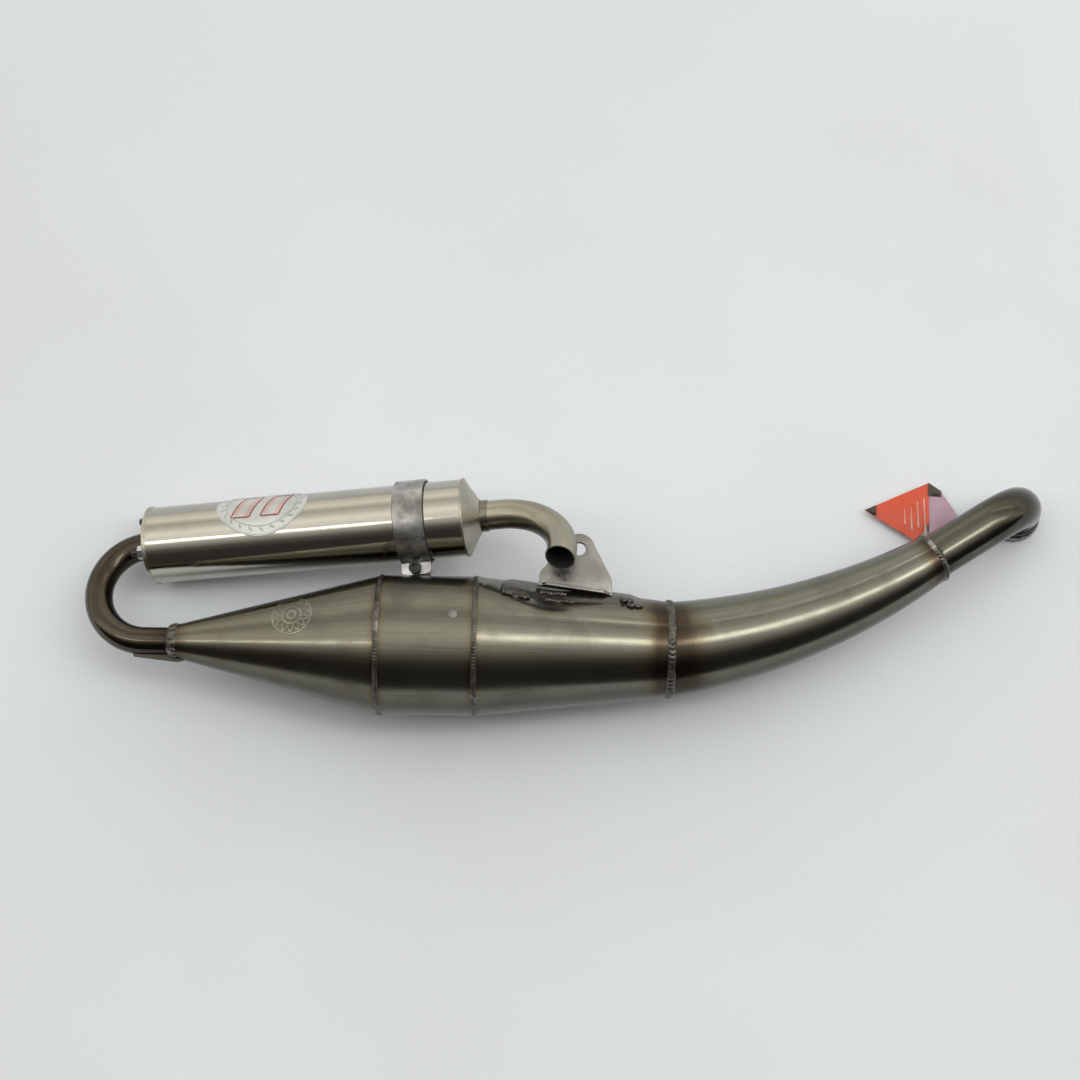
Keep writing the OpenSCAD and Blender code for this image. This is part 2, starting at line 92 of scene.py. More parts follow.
SWIVEL = next(j for j in frame["joints"] if j["name"] == "silencer_swivel")
CAN_FRONT = Vector(SWIVEL["pos_m"])
CAN_DIR = -Vector(SWIVEL["axis"]).normalized()
CAN_R = 31 * MM
CAN_LEN = 258 * MM
CAP_T = 3 * MM
CLAMP_X = 217 * MM
CLAMP_W = 24 * MM
TAIL_R, TAIL_WALL = 11.75 * MM, 1.2 * MM
TAIL_BEND_R = 50 * MM
TAIL_STRAIGHT_END = CAN_LEN + 29 * MM
TAIL_BEND = math.radians(103)
TAIL_ROLL = math.radians(54)
REAR_CONE = 13 * MM
BRACKET_HOLE = Vector(next(m for m in RECORD["mounts"] if m["name"] == "bracket_hole")["pos_m"])
BRACKET_T = 4 * MM


def on_chamber(s, y=0.0, z=0.0):
    """A point s along the chamber axis from the rear belly weld."""
    return Vector((BELLY_LO.x + s, AXIS_Y + y, AXIS_Z + z))


def can_frame():
    """Matrix whose X runs along the silencer axis, from the front cap, with Z as upright as it can be."""
    side = Vector((0, 0, 1)).cross(CAN_DIR).normalized()
    up = CAN_DIR.cross(side)
    return Matrix.Translation(CAN_FRONT) @ Matrix((CAN_DIR, side, up)).transposed().to_4x4()


CAN = can_frame()


# ------------------------------------------------------------------ mesh helpers
def new_object(name, mesh, material, body, nodes=()):
    """Links a mesh as a piece that rides on a body and stands for the given CAD nodes."""
    obj = bpy.data.objects.new(name, mesh)
    bpy.context.scene.collection.objects.link(obj)
    mesh.materials.append(material)
    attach(obj, body)
    if nodes:
        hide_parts(*nodes)
    return obj


def smooth(mesh, angle=35):
    """Smooth shading, with edges sharper than angle kept crisp."""
    mesh.shade_smooth()
    mesh.set_sharp_from_angle(angle=math.radians(angle))


def frames_along(points, side):
    """(normal, binormal) at each point of a path, carried along without twisting."""
    result = []
    normal = side
    for i, point in enumerate(points):
        ahead = points[min(i + 1, len(points) - 1)]
        behind = points[max(i - 1, 0)]
        tangent = (ahead - behind).normalized()
        normal = (normal - tangent * normal.dot(tangent)).normalized()
        result.append((normal, tangent.cross(normal)))
    return result


def grid_mesh(name, rings, closed_around=True, closed_along=False, uvs=None, values=None):
    """Mesh from rings of points. uvs gives (u, v) per point, values a named float per point."""
    count, around = len(rings), len(rings[0])
    verts = [p for ring in rings for p in ring]
    faces = []
    for i in range(count if closed_along else count - 1):
        for k in range(around if closed_around else around - 1):
            j, n = (i + 1) % count, (k + 1) % around
            faces.append((i * around + k, i * around + n, j * around + n, j * around + k))
    mesh = bpy.data.meshes.new(name)
    mesh.from_pydata([tuple(v) for v in verts], [], faces)
    if uvs:
        layer = mesh.uv_layers.new(name="UVMap")
        for loop in mesh.loops:
            i, k = divmod(loop.vertex_index, around)
            layer.data[loop.index].uv = uvs(i, k)
    for key, of_point in (values or {}).items():
        attribute = mesh.attributes.new(key, "FLOAT", "POINT")
        attribute.data.foreach_set("value", [of_point(i, k) for i in range(count) for k in range(around)])
    return mesh


def tube(name, path, radii, side, wall, around=128, shape=None, heat=None):
    """A closed sheet-metal tube along a path, with an outer wall, an inner wall and flat ends that join them.

    shape(i, angle) gives a radius correction in metres. heat(i) is stored for the material.
    """
    frames = frames_along(path, side)
    last = len(path) - 1
    lengths = [0.0]
    for a, b in zip(path, path[1:]):
        lengths.append(lengths[-1] + (b - a).length)
    order = list(range(last + 1)) + list(range(last, -1, -1))
    rings, upward = [], []
    for position, i in enumerate(order):
        inner = position > last
        normal, binormal = frames[i]
        ring = []
        upward.append([])
        for k in range(around):
            angle = 2 * math.pi * k / around
            radius = radii[i] + (shape(i, angle) if shape else 0.0) - (wall if inner else 0.0)
            outward = math.cos(angle) * normal + math.sin(angle) * binormal
            ring.append(path[i] + radius * outward)
            upward[-1].append(outward.z)
        rings.append(ring)
    mesh = grid_mesh(
        name, rings, closed_along=True,
        values={
            "heat_tint": lambda i, k: heat(order[i]) if heat else 0.0,
            "along": lambda i, k: lengths[order[i]],
            "around": lambda i, k: k / around,
            "inside": lambda i, k: 1.0 if i > last else 0.0,
            "upward": lambda i, k: upward[i][k],
        },
    )
    orient_outwards(mesh)
    smooth(mesh, 50)
    return mesh


def orient_outwards(mesh):
    bm = bmesh.new()
    bm.from_mesh(mesh)
    bmesh.ops.recalc_face_normals(bm, faces=bm.faces)
    bm.to_mesh(mesh)
    bm.free()


def lathe(name, profile, matrix, around=128, angle=35):
    """A closed profile of (along, radius) points turned about the matrix's X axis."""
    rings = []
    for along, radius in profile:
        rings.append([
            matrix @ Vector((
                along,
                radius * math.cos(2 * math.pi * k / around),
                radius * math.sin(2 * math.pi * k / around),
            ))
            for k in range(around)
        ])
    mesh = grid_mesh(name, rings, closed_along=True)
    orient_outwards(mesh)
    smooth(mesh, angle)
    return mesh


def round_corner(a, corner, b, size, steps=4):
    """Points that round off a profile's corner between its neighbours a and b."""
    a, corner, b = Vector(a), Vector(corner), Vector(b)
    start = corner + (a - corner).normalized() * size
    end = corner + (b - corner).normalized() * size
    points = []
    for i in range(steps + 1):
        t = i / steps
        points.append(tuple((1 - t) ** 2 * start + 2 * t * (1 - t) * corner + t * t * end))
    return points


def rounded(profile, size, steps=4):
    """A closed profile with every corner rounded. size is a number, or one per corner."""
    count = len(profile)
    sizes = size if isinstance(size, (list, tuple)) else [size] * count
    points = []
    for i, corner in enumerate(profile):
        if sizes[i] <= 0:
            points.append(tuple(corner))
        else:
            points += round_corner(profile[i - 1], corner, profile[(i + 1) % count], sizes[i], steps)
    return points


def plate(name, outlines, thickness, bevel, matrix):
    """A flat plate with rounded edges. The first outline is its edge and the others are holes."""
    curve = bpy.data.curves.new(name + "_outline", "CURVE")
    curve.dimensions = "2D"
    curve.fill_mode = "BOTH"
    curve.extrude = thickness / 2 - bevel
    curve.bevel_depth = bevel
    curve.bevel_resolution = 2
    curve.offset = -bevel
    for outline in outlines:
        spline = curve.splines.new("POLY")
        spline.points.add(len(outline) - 1)
        for point, (x, y) in zip(spline.points, outline):
            point.co = (x, y, 0, 1)
        spline.use_cyclic_u = True
    shape = bpy.data.objects.new(name + "_outline", curve)
    bpy.context.scene.collection.objects.link(shape)
    evaluated = shape.evaluated_get(bpy.context.evaluated_depsgraph_get())
    mesh = bpy.data.meshes.new_from_object(evaluated)
    mesh.name = name
    mesh.materials.clear()
    bpy.data.objects.remove(shape)
    bpy.data.curves.remove(curve)
    bm = bmesh.new()
    bm.from_mesh(mesh)
    bmesh.ops.remove_doubles(bm, verts=bm.verts, dist=1e-6)
    bmesh.ops.recalc_face_normals(bm, faces=bm.faces)
    bm.to_mesh(mesh)
    bm.free()
    mesh.transform(matrix)
    smooth(mesh, 40)
    return mesh


def arc(centre, radius, start, end, steps):
    """Points on an arc, angles in degrees."""
    return [
        (
            centre[0] + radius * math.cos(math.radians(start + (end - start) * i / steps)),
            centre[1] + radius * math.sin(math.radians(start + (end - start) * i / steps)),
        )
        for i in range(steps + 1)
    ]


# ------------------------------------------------------------------ material helpers
class Graph:
    """A material whose nodes are added one call at a time."""

    def __init__(self, name):
        self.material = bpy.data.materials.new(name)
        self.material.use_nodes = True
        self.tree = self.material.node_tree
        self.tree.nodes.clear()
        output = self.tree.nodes.new("ShaderNodeOutputMaterial")
        self.shader = self.tree.nodes.new("ShaderNodeBsdfPrincipled")
        self.tree.links.new(self.shader.outputs["BSDF"], output.inputs["Surface"])

    def node(self, kind, **settings):
        made = self.tree.nodes.new(kind)
        for key, value in settings.items():
            setattr(made, key, value)
        return made

    def feed(self, value, socket):
        if isinstance(value, bpy.types.NodeSocket):
            self.tree.links.new(value, socket)
        else:
            socket.default_value = value

    def set(self, **values):
        for key, value in values.items():
            self.feed(value, self.shader.inputs[key.replace("_", " ")])

    def math(self, operation, a, b=0.0, clamp=False):
        made = self.node("ShaderNodeMath", operation=operation, use_clamp=clamp)
        self.feed(a, made.inputs[0])
        self.feed(b, made.inputs[1])
        return made.outputs[0]

    def position(self):
        return self.node("ShaderNodeTexCoord").outputs["Object"]

    def attribute(self, name):
        return self.node("ShaderNodeAttribute", attribute_name=name).outputs["Fac"]

    def combined(self, x, y, z=0.0):
        made = self.node("ShaderNodeCombineXYZ")
        for socket, value in zip(made.inputs, (x, y, z)):
            self.feed(value, socket)
        return made.outputs[0]

    def noise(self, vector, scale, detail=3.0, roughness=0.55):
        made = self.node("ShaderNodeTexNoise")
        self.feed(vector, made.inputs["Vector"])
        made.inputs["Scale"].default_value = scale
        made.inputs["Detail"].default_value = detail
        made.inputs["Roughness"].default_value = roughness
        return made.outputs["Fac"]

    def remap(self, value, low, high, to_low=0.0, to_high=1.0):
        made = self.node("ShaderNodeMapRange", clamp=True)
        self.feed(value, made.inputs["Value"])
        made.inputs["From Min"].default_value = low
        made.inputs["From Max"].default_value = high
        made.inputs["To Min"].default_value = to_low
        made.inputs["To Max"].default_value = to_high
        return made.outputs["Result"]

    def ramp(self, value, stops):
        made = self.node("ShaderNodeValToRGB")
        self.feed(value, made.inputs["Fac"])
        elements = made.color_ramp.elements
        while len(elements) < len(stops):
            elements.new(0.5)
        for element, (place, colour) in zip(elements, stops):
            element.position = place
            element.color = (*colour, 1)
        return made.outputs["Color"]

    def mix(self, factor, a, b):
        made = self.node("ShaderNodeMix", data_type="RGBA")
        self.feed(factor, made.inputs["Factor"])
        self.feed(a if isinstance(a, bpy.types.NodeSocket) else (*a, 1), made.inputs[6])
        self.feed(b if isinstance(b, bpy.types.NodeSocket) else (*b, 1), made.inputs[7])
        return made.outputs[2]

    def bump(self, height, strength, distance, base=None):
        made = self.node("ShaderNodeBump")
        made.inputs["Strength"].default_value = strength
        made.inputs["Distance"].default_value = distance
        self.feed(height, made.inputs["Height"])
        if base:
            self.feed(base, made.inputs["Normal"])
        return made.outputs["Normal"]


SOOT = (0.008, 0.0075, 0.007)
# Near black painted shade for the sides of a tube that face down, in place of their darker reflection.
UNDERSIDE_SHADE = (0.02, 0.019, 0.014)


def sheet_steel(name, base, straw, dark, rough, stamp=None):
    """Bare steel tube or sheet: brushed grain, blotches of oil and heat tint beside the welds, and painted shade
    on the sides that face down.

    stamp(g) gives a factor that is 1 on the lines of a mark stamped into the sheet.
    """
    heat_start = 0.25
    g = Graph(name)
    place = g.position()
    along, around, heat = g.attribute("along"), g.attribute("around"), g.attribute("heat_tint")
    blotch = g.noise(place, 26, 4.0)
    cloud = g.noise(place, 7, 2.0)
    brushed = g.noise(g.combined(g.math("MULTIPLY", along, 2600), g.math("MULTIPLY", around, 9)), 1.0, 2.0)
    lengthwise = g.noise(g.combined(g.math("MULTIPLY", along, 14), g.math("MULTIPLY", around, 150)), 1.0, 3.0)
    warmed = g.math("ADD", heat, g.math("MULTIPLY", g.math("SUBTRACT", blotch, 0.5), 0.35))
    tint = g.ramp(warmed, [
        (heat_start, base), (heat_start + 0.17, straw), (heat_start + 0.36, dark),
        (heat_start + 0.6, tuple(0.55 * c for c in dark)),
    ])
    tint = g.mix(g.remap(cloud, 0.42, 0.7, 0.0, 0.5), tint, straw)
    tint = g.mix(g.remap(blotch, 0.52, 0.74, 0.0, 0.42), tint, dark)
    tint = g.mix(g.remap(lengthwise, 0.5, 0.78, 0.0, 0.4), tint, dark)
    tint = g.mix(g.remap(brushed, 0.35, 0.75, 0.0, 0.12), tint, tuple(min(1, 1.25 * c) for c in base))
    # Painted shade: the more a tube's side faces down, the more it is darkened towards near black, standing in for
    # the dark reflection under it.
    underside_shade = g.remap(g.attribute("upward"), 0.66, 0.36, 0.0, 0.5)
    tint = g.mix(underside_shade, tint, UNDERSIDE_SHADE)
    pressed_in = stamp(g) if stamp else 0.0
    if stamp:
        tint = g.mix(pressed_in, tint, tuple(min(1, 1.9 * c) for c in base))
    inside = g.attribute("inside")
    g.set(
        Base_Color=g.mix(inside, tint, SOOT),
        Metallic=g.remap(inside, 0.0, 1.0, 1.0, 0.0),
        Roughness=g.math("ADD", g.remap(blotch, 0.3, 0.75, rough - 0.05, rough + 0.07),
                         g.math("MULTIPLY", inside, 0.5)),
    )
    waves = g.math("ADD", g.math("MULTIPLY", brushed, 0.25), g.math("MULTIPLY", cloud, 2.2))
    if stamp:
        waves = g.math("SUBTRACT", waves, g.math("MULTIPLY", pressed_in, 1.6))
    g.set(Normal=g.bump(waves, 0.35, 0.0004))
    return g.material


EMBLEM_S, EMBLEM_Y, EMBLEM_R, EMBLEM_PETALS = -67 * MM, 15 * MM, 16 * MM, 14


def emblem(g):
    """Lines of a plain round emblem on the cone's upper side: three rings with petals between."""
    split = g.node("ShaderNodeSeparateXYZ")
    g.feed(g.position(), split.inputs[0])
    middle = on_chamber(EMBLEM_S, EMBLEM_Y)
    across = g.math("MULTIPLY", g.math("SUBTRACT", split.outputs["X"], middle.x), 1 / EMBLEM_R)
    upward = g.math("MULTIPLY", g.math("SUBTRACT", split.outputs["Y"], middle.y), 1 / EMBLEM_R)
    squares = g.math("ADD", g.math("MULTIPLY", across, across), g.math("MULTIPLY", upward, upward))
    away = g.math("SQRT", squares)
    turn = g.math("ARCTAN2", upward, across)
    petal = g.math("ABSOLUTE", g.math("SINE", g.math("MULTIPLY", turn, EMBLEM_PETALS / 2)))
    edge = g.math("ADD", 0.52, g.math("MULTIPLY", petal, 0.34))
    lines = None
    for place, width in ((0.97, 0.035), (edge, 0.05), (0.46, 0.035), (0.2, 0.05)):
        off = g.math("ABSOLUTE", g.math("SUBTRACT", away, place))
        line = g.remap(off, 0.5 * width, 1.3 * width, 1.0, 0.0)
        lines = line if lines is None else g.math("MAXIMUM", lines, line)
    top = g.math("GREATER_THAN", split.outputs["Z"], AXIS_Z)
    worn = g.remap(g.noise(g.position(), 210, 2.0), 0.35, 0.6, 0.25, 0.9)
    return g.math("MULTIPLY", g.math("MULTIPLY", lines, top), worn)


def weld_metal():
    g = Graph("weld_metal")
    place = g.position()
    speck = g.noise(place, 320, 3.0)
    patch = g.noise(place, 60, 2.0)
    colour = g.ramp(patch, [
        (0.3, (0.05, 0.046, 0.04)), (0.48, (0.13, 0.124, 0.108)),
        (0.6, (0.08, 0.075, 0.068)), (0.74, (0.36, 0.35, 0.32)),
    ])
    g.set(Base_Color=colour, Metallic=1.0, Roughness=g.remap(speck, 0.3, 0.7, 0.22, 0.5))
    g.set(Normal=g.bump(speck, 0.4, 0.0003))
    return g.material


def plain_steel(name, colour, rough, spread=0.08, speckle=240, bump=0.15, metallic=1.0):
    """Plate, rod and fastener steel, with fine specks and slow changes of shine."""
    g = Graph(name)
    place = g.position()
    fine = g.noise(place, speckle, 4.0)
    slow = g.noise(place, 38, 2.0)
    colour_dark = tuple(0.72 * c for c in colour)
    g.set(
        Base_Color=g.mix(g.remap(slow, 0.35, 0.7), colour, colour_dark),
        Metallic=metallic,
        Roughness=g.remap(fine, 0.3, 0.7, rough - spread, rough + spread),
    )
    g.set(Normal=g.bump(fine, bump, 0.0002))
    return g.material


def mirror_steel():
    """Polished stainless: near mirror, with faint lengthwise polishing marks and a few smears."""
    g = Graph("polished_stainless")
    place = g.position()
    along, around = g.attribute("along"), g.attribute("around")
    marks = g.noise(g.combined(g.math("MULTIPLY", along, 5), g.math("MULTIPLY", around, 260)), 1.0, 3.0)
    smear = g.noise(place, 34, 3.0)
    g.set(
        Base_Color=g.mix(g.remap(smear, 0.5, 0.8, 0.0, 0.35), (0.49, 0.47, 0.415), (0.33, 0.30, 0.235)),
        Metallic=1.0,
        Roughness=g.remap(smear, 0.3, 0.75, 0.05, 0.13),
    )
    g.set(Normal=g.bump(marks, 0.12, 0.0003))
    return g.material


def band_steel():
    g = Graph("clamp_band")
    place = g.position()
    fine = g.noise(place, 420, 4.0)
    slow = g.noise(place, 45, 3.0)
    g.set(
        Base_Color=g.mix(g.remap(slow, 0.35, 0.65), (0.58, 0.58, 0.57), (0.20, 0.195, 0.19)),
        Metallic=0.95,
        Roughness=g.remap(fine, 0.3, 0.7, 0.24, 0.44),
    )
    g.set(Normal=g.bump(fine, 0.3, 0.0003))
    return g.material


def soft_black(name, colour=(0.02, 0.02, 0.02), rough=0.55):
    g = Graph(name)
    fine = g.noise(g.position(), 500, 3.0)
    g.set(Base_Color=g.mix(fine, colour, tuple(1.8 * c for c in colour)), Metallic=0.0,
          Roughness=g.remap(fine, 0.3, 0.7, rough - 0.08, rough + 0.08))
    g.set(Normal=g.bump(fine, 0.2, 0.0002))
    return g.material


def card(name, colour):
    """Coated card, slightly mottled and with a low sheen."""
    g = Graph(name)
    slow = g.noise(g.position(), 90, 3.0)
    g.set(Base_Color=g.mix(g.remap(slow, 0.3, 0.7), colour, tuple(0.82 * c for c in colour)),
          Metallic=0.0, Roughness=0.45)
    g.set(Normal=g.bump(slow, 0.3, 0.0006))
    return g.material


def floor_cloth():
    """Plain pale cloth, a little cool, with slow soft unevenness."""
    g = Graph("floor")
    place = g.position()
    slow = g.noise(place, 2.2, 3.0)
    fine = g.noise(place, 320, 3.0)
    g.set(Base_Color=g.mix(g.remap(slow, 0.35, 0.65), FLOOR_PALE, FLOOR_SHADE), Roughness=0.9)
    g.shader.inputs["Specular IOR Level"].default_value = 0.1
    g.set(Normal=g.bump(g.math("ADD", g.math("MULTIPLY", slow, 20), fine), 0.25, 0.0012))
    return g.material


FLOOR_PALE = (0.67, 0.705, 0.745)
FLOOR_SHADE = (0.635, 0.66, 0.705)
OLIVE = (0.188, 0.188, 0.153)
STRAW = (0.17, 0.148, 0.102)
BROWN = (0.06, 0.041, 0.028)

CHAMBER_STEEL = sheet_steel("chamber_steel", OLIVE, STRAW, BROWN, 0.21)
BAFFLE_STEEL = sheet_steel("baffle_steel", OLIVE, STRAW, BROWN, 0.20, stamp=emblem)
CURVE_STEEL = sheet_steel("curve_steel", OLIVE, (0.15, 0.135, 0.097), BROWN, 0.20)
STINGER_STEEL = sheet_steel(
    "stinger_steel", (0.095, 0.085, 0.065), (0.08, 0.065, 0.047), (0.04, 0.032, 0.025), 0.14,
)
HEADER_STEEL = sheet_steel(
    "header_steel", (0.13, 0.127, 0.102), (0.085, 0.08, 0.06), (0.038, 0.034, 0.029), 0.15,
)
TAIL_STEEL = sheet_steel("tail_steel", (0.42, 0.40, 0.325), (0.34, 0.30, 0.225), (0.20, 0.165, 0.12), 0.27)
WELD = weld_metal()
MIRROR = mirror_steel()
CAP_STEEL = plain_steel("cap_steel", (0.56, 0.53, 0.45), 0.30)
REAR_STEEL = plain_steel("rear_steel", (0.50, 0.475, 0.40), 0.34, speckle=600)
BRACKET_STEEL = plain_steel("bracket_steel", (0.27, 0.268, 0.252), 0.34, spread=0.12)
STAY_STEEL = plain_steel("stay_steel", (0.09, 0.085, 0.075), 0.38)
BAND = band_steel()
ZINC = plain_steel("plated_steel", (0.62, 0.62, 0.62), 0.26)
BLACK_BOLT = plain_steel("black_bolt", (0.045, 0.043, 0.042), 0.33, metallic=0.7)
ZINC_DARK = plain_steel("dark_stud", (0.16, 0.155, 0.15), 0.34)
FLANGE_STEEL = plain_steel("flange_steel", (0.30, 0.29, 0.27), 0.4)
PAD_STEEL = plain_steel("pad_steel", (0.17, 0.162, 0.15), 0.34, spread=0.12, bump=0.3)
BADGE_SILVER = plain_steel("badge_silver", (0.62, 0.635, 0.62), 0.4, metallic=0.45, speckle=700)
BADGE_PINK = plain_steel("badge_pink", (0.62, 0.45, 0.42), 0.45, metallic=0.3, speckle=700)
BADGE_RED = plain_steel("badge_red", (0.26, 0.045, 0.04), 0.5, metallic=0.0)
BADGE_GREY = plain_steel("badge_grey", (0.35, 0.39, 0.36), 0.5, metallic=0.2)
TAG_ORANGE = card("tag_orange", (0.60, 0.06, 0.014))
TAG_LILAC = card("tag_lilac", (0.42, 0.27, 0.34))
TAG_DARK = card("tag_dark", (0.05, 0.035, 0.03))
TAG_PRINT = card("tag_print", (0.62, 0.42, 0.34))
FLOOR = floor_cloth()
LINER = soft_black("liner_rubber")
NYLON = soft_black("tie_nylon", rough=0.4)


# ------------------------------------------------------------------ chamber
def heat_near(*welds_at):
    """Heat tint from 0 to 1 that fades away from welds, each given as (station, reach, strength)."""
    def heat(s):
        parts = [full * math.exp(-(abs(s - weld) / reach) ** 1.4) for weld, reach, full in welds_at]
        return min(1.0, sum(parts))
    return heat


# The cone's upper side is pressed flat beside the belly, where the bracket sits
PRESS_FROM, PRESS_DEEPEST, PRESS_TO = BELLY_LEN + 3 * MM, BELLY_LEN + 52 * MM, BELLY_LEN + 118 * MM
PRESS_DEPTH = 4.2 * MM
PRESS_ANGLE = math.radians(40)


def ease(t):
    t = max(0.0, min(1.0, t))
    return t * t * (3 - 2 * t)


def press_depth(s):
    if s <= PRESS_DEEPEST:
        return PRESS_DEPTH * ease((s - PRESS_FROM) / (PRESS_DEEPEST - PRESS_FROM))
    return PRESS_DEPTH * ease((PRESS_TO - s) / (PRESS_TO - PRESS_DEEPEST))


def cone_radius(s):
    """Radius of the straight diffuser cone at station s."""
    return BELLY_R + (THROAT_R - BELLY_R) * (s - BELLY_LEN) / (THROAT_X - BELLY_LEN)


def pressed(s, angle):
    """How far the pressed flat lies below the round cone, with angle measured from +Y towards +Z."""
    radius = cone_radius(s)
    turn = math.cos(angle - PRESS_ANGLE)
    if turn <= 0.3:
        return 0.0
    flat = (radius - press_depth(s)) / turn
    step = 1.2 * MM
    low = min(flat, radius) - step * math.exp(-abs(flat - radius) / step) * 0.4
    return min(0.0, low - radius) if press_depth(s) > 0.05 * MM else 0.0


def stations(start, end, count):
    return [start + (end - start) * i / count for i in range(count + 1)]


def chamber_section(name, node, places, radius_of, heat_of, shape=None, material=None):
    """One shell of the chamber along its axis. Angle 0 is +Y, and a quarter turn is +Z."""
    path = [on_chamber(s) for s in places]
    mesh = tube(
        name, path, [radius_of(s) for s in places], Vector((0, 1, 0)), SHEET, around=192,
        shape=(lambda i, angle: shape(places[i], angle)) if shape else None,
        heat=lambda i: heat_of(places[i]),
    )
    return new_object(name, mesh, material or CHAMBER_STEEL, CHAMBER, [node])


def baffle_radius(s):
    return COLLAR_R + (BELLY_R - COLLAR_R) * (s - BAFFLE_X) / -BAFFLE_X


def chamber():
    chamber_section("baffle_shell", "baffle_cone", stations(BAFFLE_X, 0, 60), baffle_radius,
                    heat_near((BAFFLE_X, 16 * MM, 0.75), (0, 9 * MM, 0.6)), material=BAFFLE_STEEL)
    chamber_section("belly_shell", "belly", stations(0, BELLY_LEN, 40), lambda s: BELLY_R,
                    heat_near((0, 8 * MM, 0.6), (BELLY_LEN, 8 * MM, 0.6)))
    chamber_section("diffuser_shell", "diffuser_cone", stations(BELLY_LEN, THROAT_X, 90), cone_radius,
                    heat_near((BELLY_LEN, 8 * MM, 0.5), (THROAT_X, 24 * MM, 0.85)), shape=pressed)
    belly_dimple()


def belly_dimple():
    """A small round pip pressed up in the belly's upper side, near the cone."""
    turn = math.radians(76)
    outward = Vector((0, math.cos(turn), math.sin(turn)))
    seat = on_chamber(58.5 * MM, *(BELLY_R * outward)[1:])
    x_axis = Vector((1, 0, 0))
    matrix = Matrix.Translation(seat) @ Matrix((outward, x_axis, outward.cross(x_axis))).transposed().to_4x4()
    profile = [
        (-0.6, 0.01), (-0.6, 3.2), (0.02, 3.2), (0.3, 2.7),
        (0.16, 2.1), (0.32, 1.4), (0.62, 0.7), (0.7, 0.01),
    ]
    mesh = lathe("belly_pip", [(a * MM, r * MM) for a, r in profile], matrix, 48, 60)
    new_object("belly_pip", mesh, BRACKET_STEEL, CHAMBER)


def curve_point(f):
    """Point and heading on the curved diffuser's middle line, at fraction f of its length."""
    radius = CURVE_LEN / (CURVE_END - CURVE_START)
    heading = CURVE_START + f * (CURVE_END - CURVE_START)
    return on_chamber(
        THROAT_X + radius * (math.sin(heading) - math.sin(CURVE_START)),
        radius * (math.cos(CURVE_START) - math.cos(heading)),
    )


def curve_radius(f):
    return THROAT_R + (CURVE_END_R - THROAT_R) * (0.8 * f + 0.2 * f * f)


HEADING = Vector((math.cos(CURVE_END), math.sin(CURVE_END), 0))
CURVE_TIP = curve_point(1)


def curved_diffuser():
    # A short lead-in slips inside the cone, so the kink between them leaves no gap
    steps = [-6 * MM / CURVE_LEN] + stations(0, 1, 90)
    heat = heat_near((0, 30 * MM, 0.85), (CURVE_LEN, 18 * MM, 0.75))
    mesh = tube(
        "curved_shell", [curve_point(f) for f in steps], [curve_radius(max(0, f)) for f in steps],
        Vector((0, 1, 0)), SHEET, around=160, heat=lambda i: heat(steps[i] * CURVE_LEN),
    )
    new_object("curved_shell", mesh, CURVE_STEEL, CHAMBER, ["curved_diffuser"])


# ------------------------------------------------------------------ header and flange
def header_pipe():
    slip = 10 * MM
    start = CURVE_TIP - HEADING * slip
    bend_at = CURVE_TIP + HEADING * HEADER_STRAIGHT
    path = [start + (bend_at - start) * t for t in stations(0, 1, 24)]
    down = Vector((0, 0, -1))
    for i in range(1, 33):
        turn = math.pi / 2 * i / 32
        path.append(bend_at + ELBOW_R * (math.sin(turn) * HEADING + (1 - math.cos(turn)) * down))
    foot = path[-1].z
    path += [path[-1] + down * foot * t for t in stations(0, 1, 8)[1:]]
    total = len(path)
    mesh = tube("header_run", path, [HEADER_R] * total, HEADING.cross(down), 1.5 * MM, around=128,
                heat=lambda i: 0.1 + 0.75 * ease(i / total) + 0.3 * math.exp(-abs(i - 4) / 4))
    nodes = ["header_leg", "header_elbow", "header_tube"]
    new_object("header_run", mesh, HEADER_STEEL, CHAMBER, nodes)


def header_flange():
    upright = Matrix.Rotation(-math.pi / 2, 4, "Y")
    mesh = ring_mesh("flange_ring", upright, 0, FLANGE_T, FLANGE_R, HEADER_R, 0.8 * MM, 128)
    new_object("flange_ring", mesh, FLANGE_STEEL, CHAMBER, ["header_flange"])


# ------------------------------------------------------------------ welds
def weld_ring(name, node, centre, axis, side, base, half, proud, seed, ripple=2.6 * MM, rough=0.15):
    """A rippled bead round a tube. base(x, angle) is the surface radius at distance x along the axis."""
    rng = random.Random(seed)
    other = axis.cross(side)
    count = max(96, int(2 * math.pi * base(0, 0) / ripple) * 8)
    waves = [(rng.uniform(0, 6.28), rng.randint(3, 17), rng.uniform(0.3, 1)) for _ in range(6)]
    across = 10
    rings = []
    for k in range(count):
        angle = 2 * math.pi * k / count
        wobble = sum(size * math.sin(n * angle + phase) for phase, n, size in waves) / len(waves)
        direction = math.cos(angle) * side + math.sin(angle) * other
        ring = []
        for m in range(across + 1):
            x = -1 + 2 * m / across
            scallop = (base(0, 0) * angle / ripple + 0.55 * x * x) % 1.0
            height = (1 - x * x) ** 0.6 * (0.62 + 0.38 * math.sin(math.pi * scallop) ** 0.7)
            height *= proud * (1 + rough * 2.2 * wobble)
            spread = half * (1 + rough * wobble) * x + rough * half * 0.5 * wobble
            ring.append(centre + axis * spread + direction * (base(spread, angle) + height - 0.15 * MM))
        for x in (0.8, -0.8):
            ring.append(centre + axis * half * x + direction * (base(half * x, angle) - 0.8 * MM))
        rings.append(ring)
    mesh = grid_mesh(name, rings, closed_along=True)
    orient_outwards(mesh)
    smooth(mesh, 60)
    return new_object(name, mesh, WELD, CHAMBER, [node])


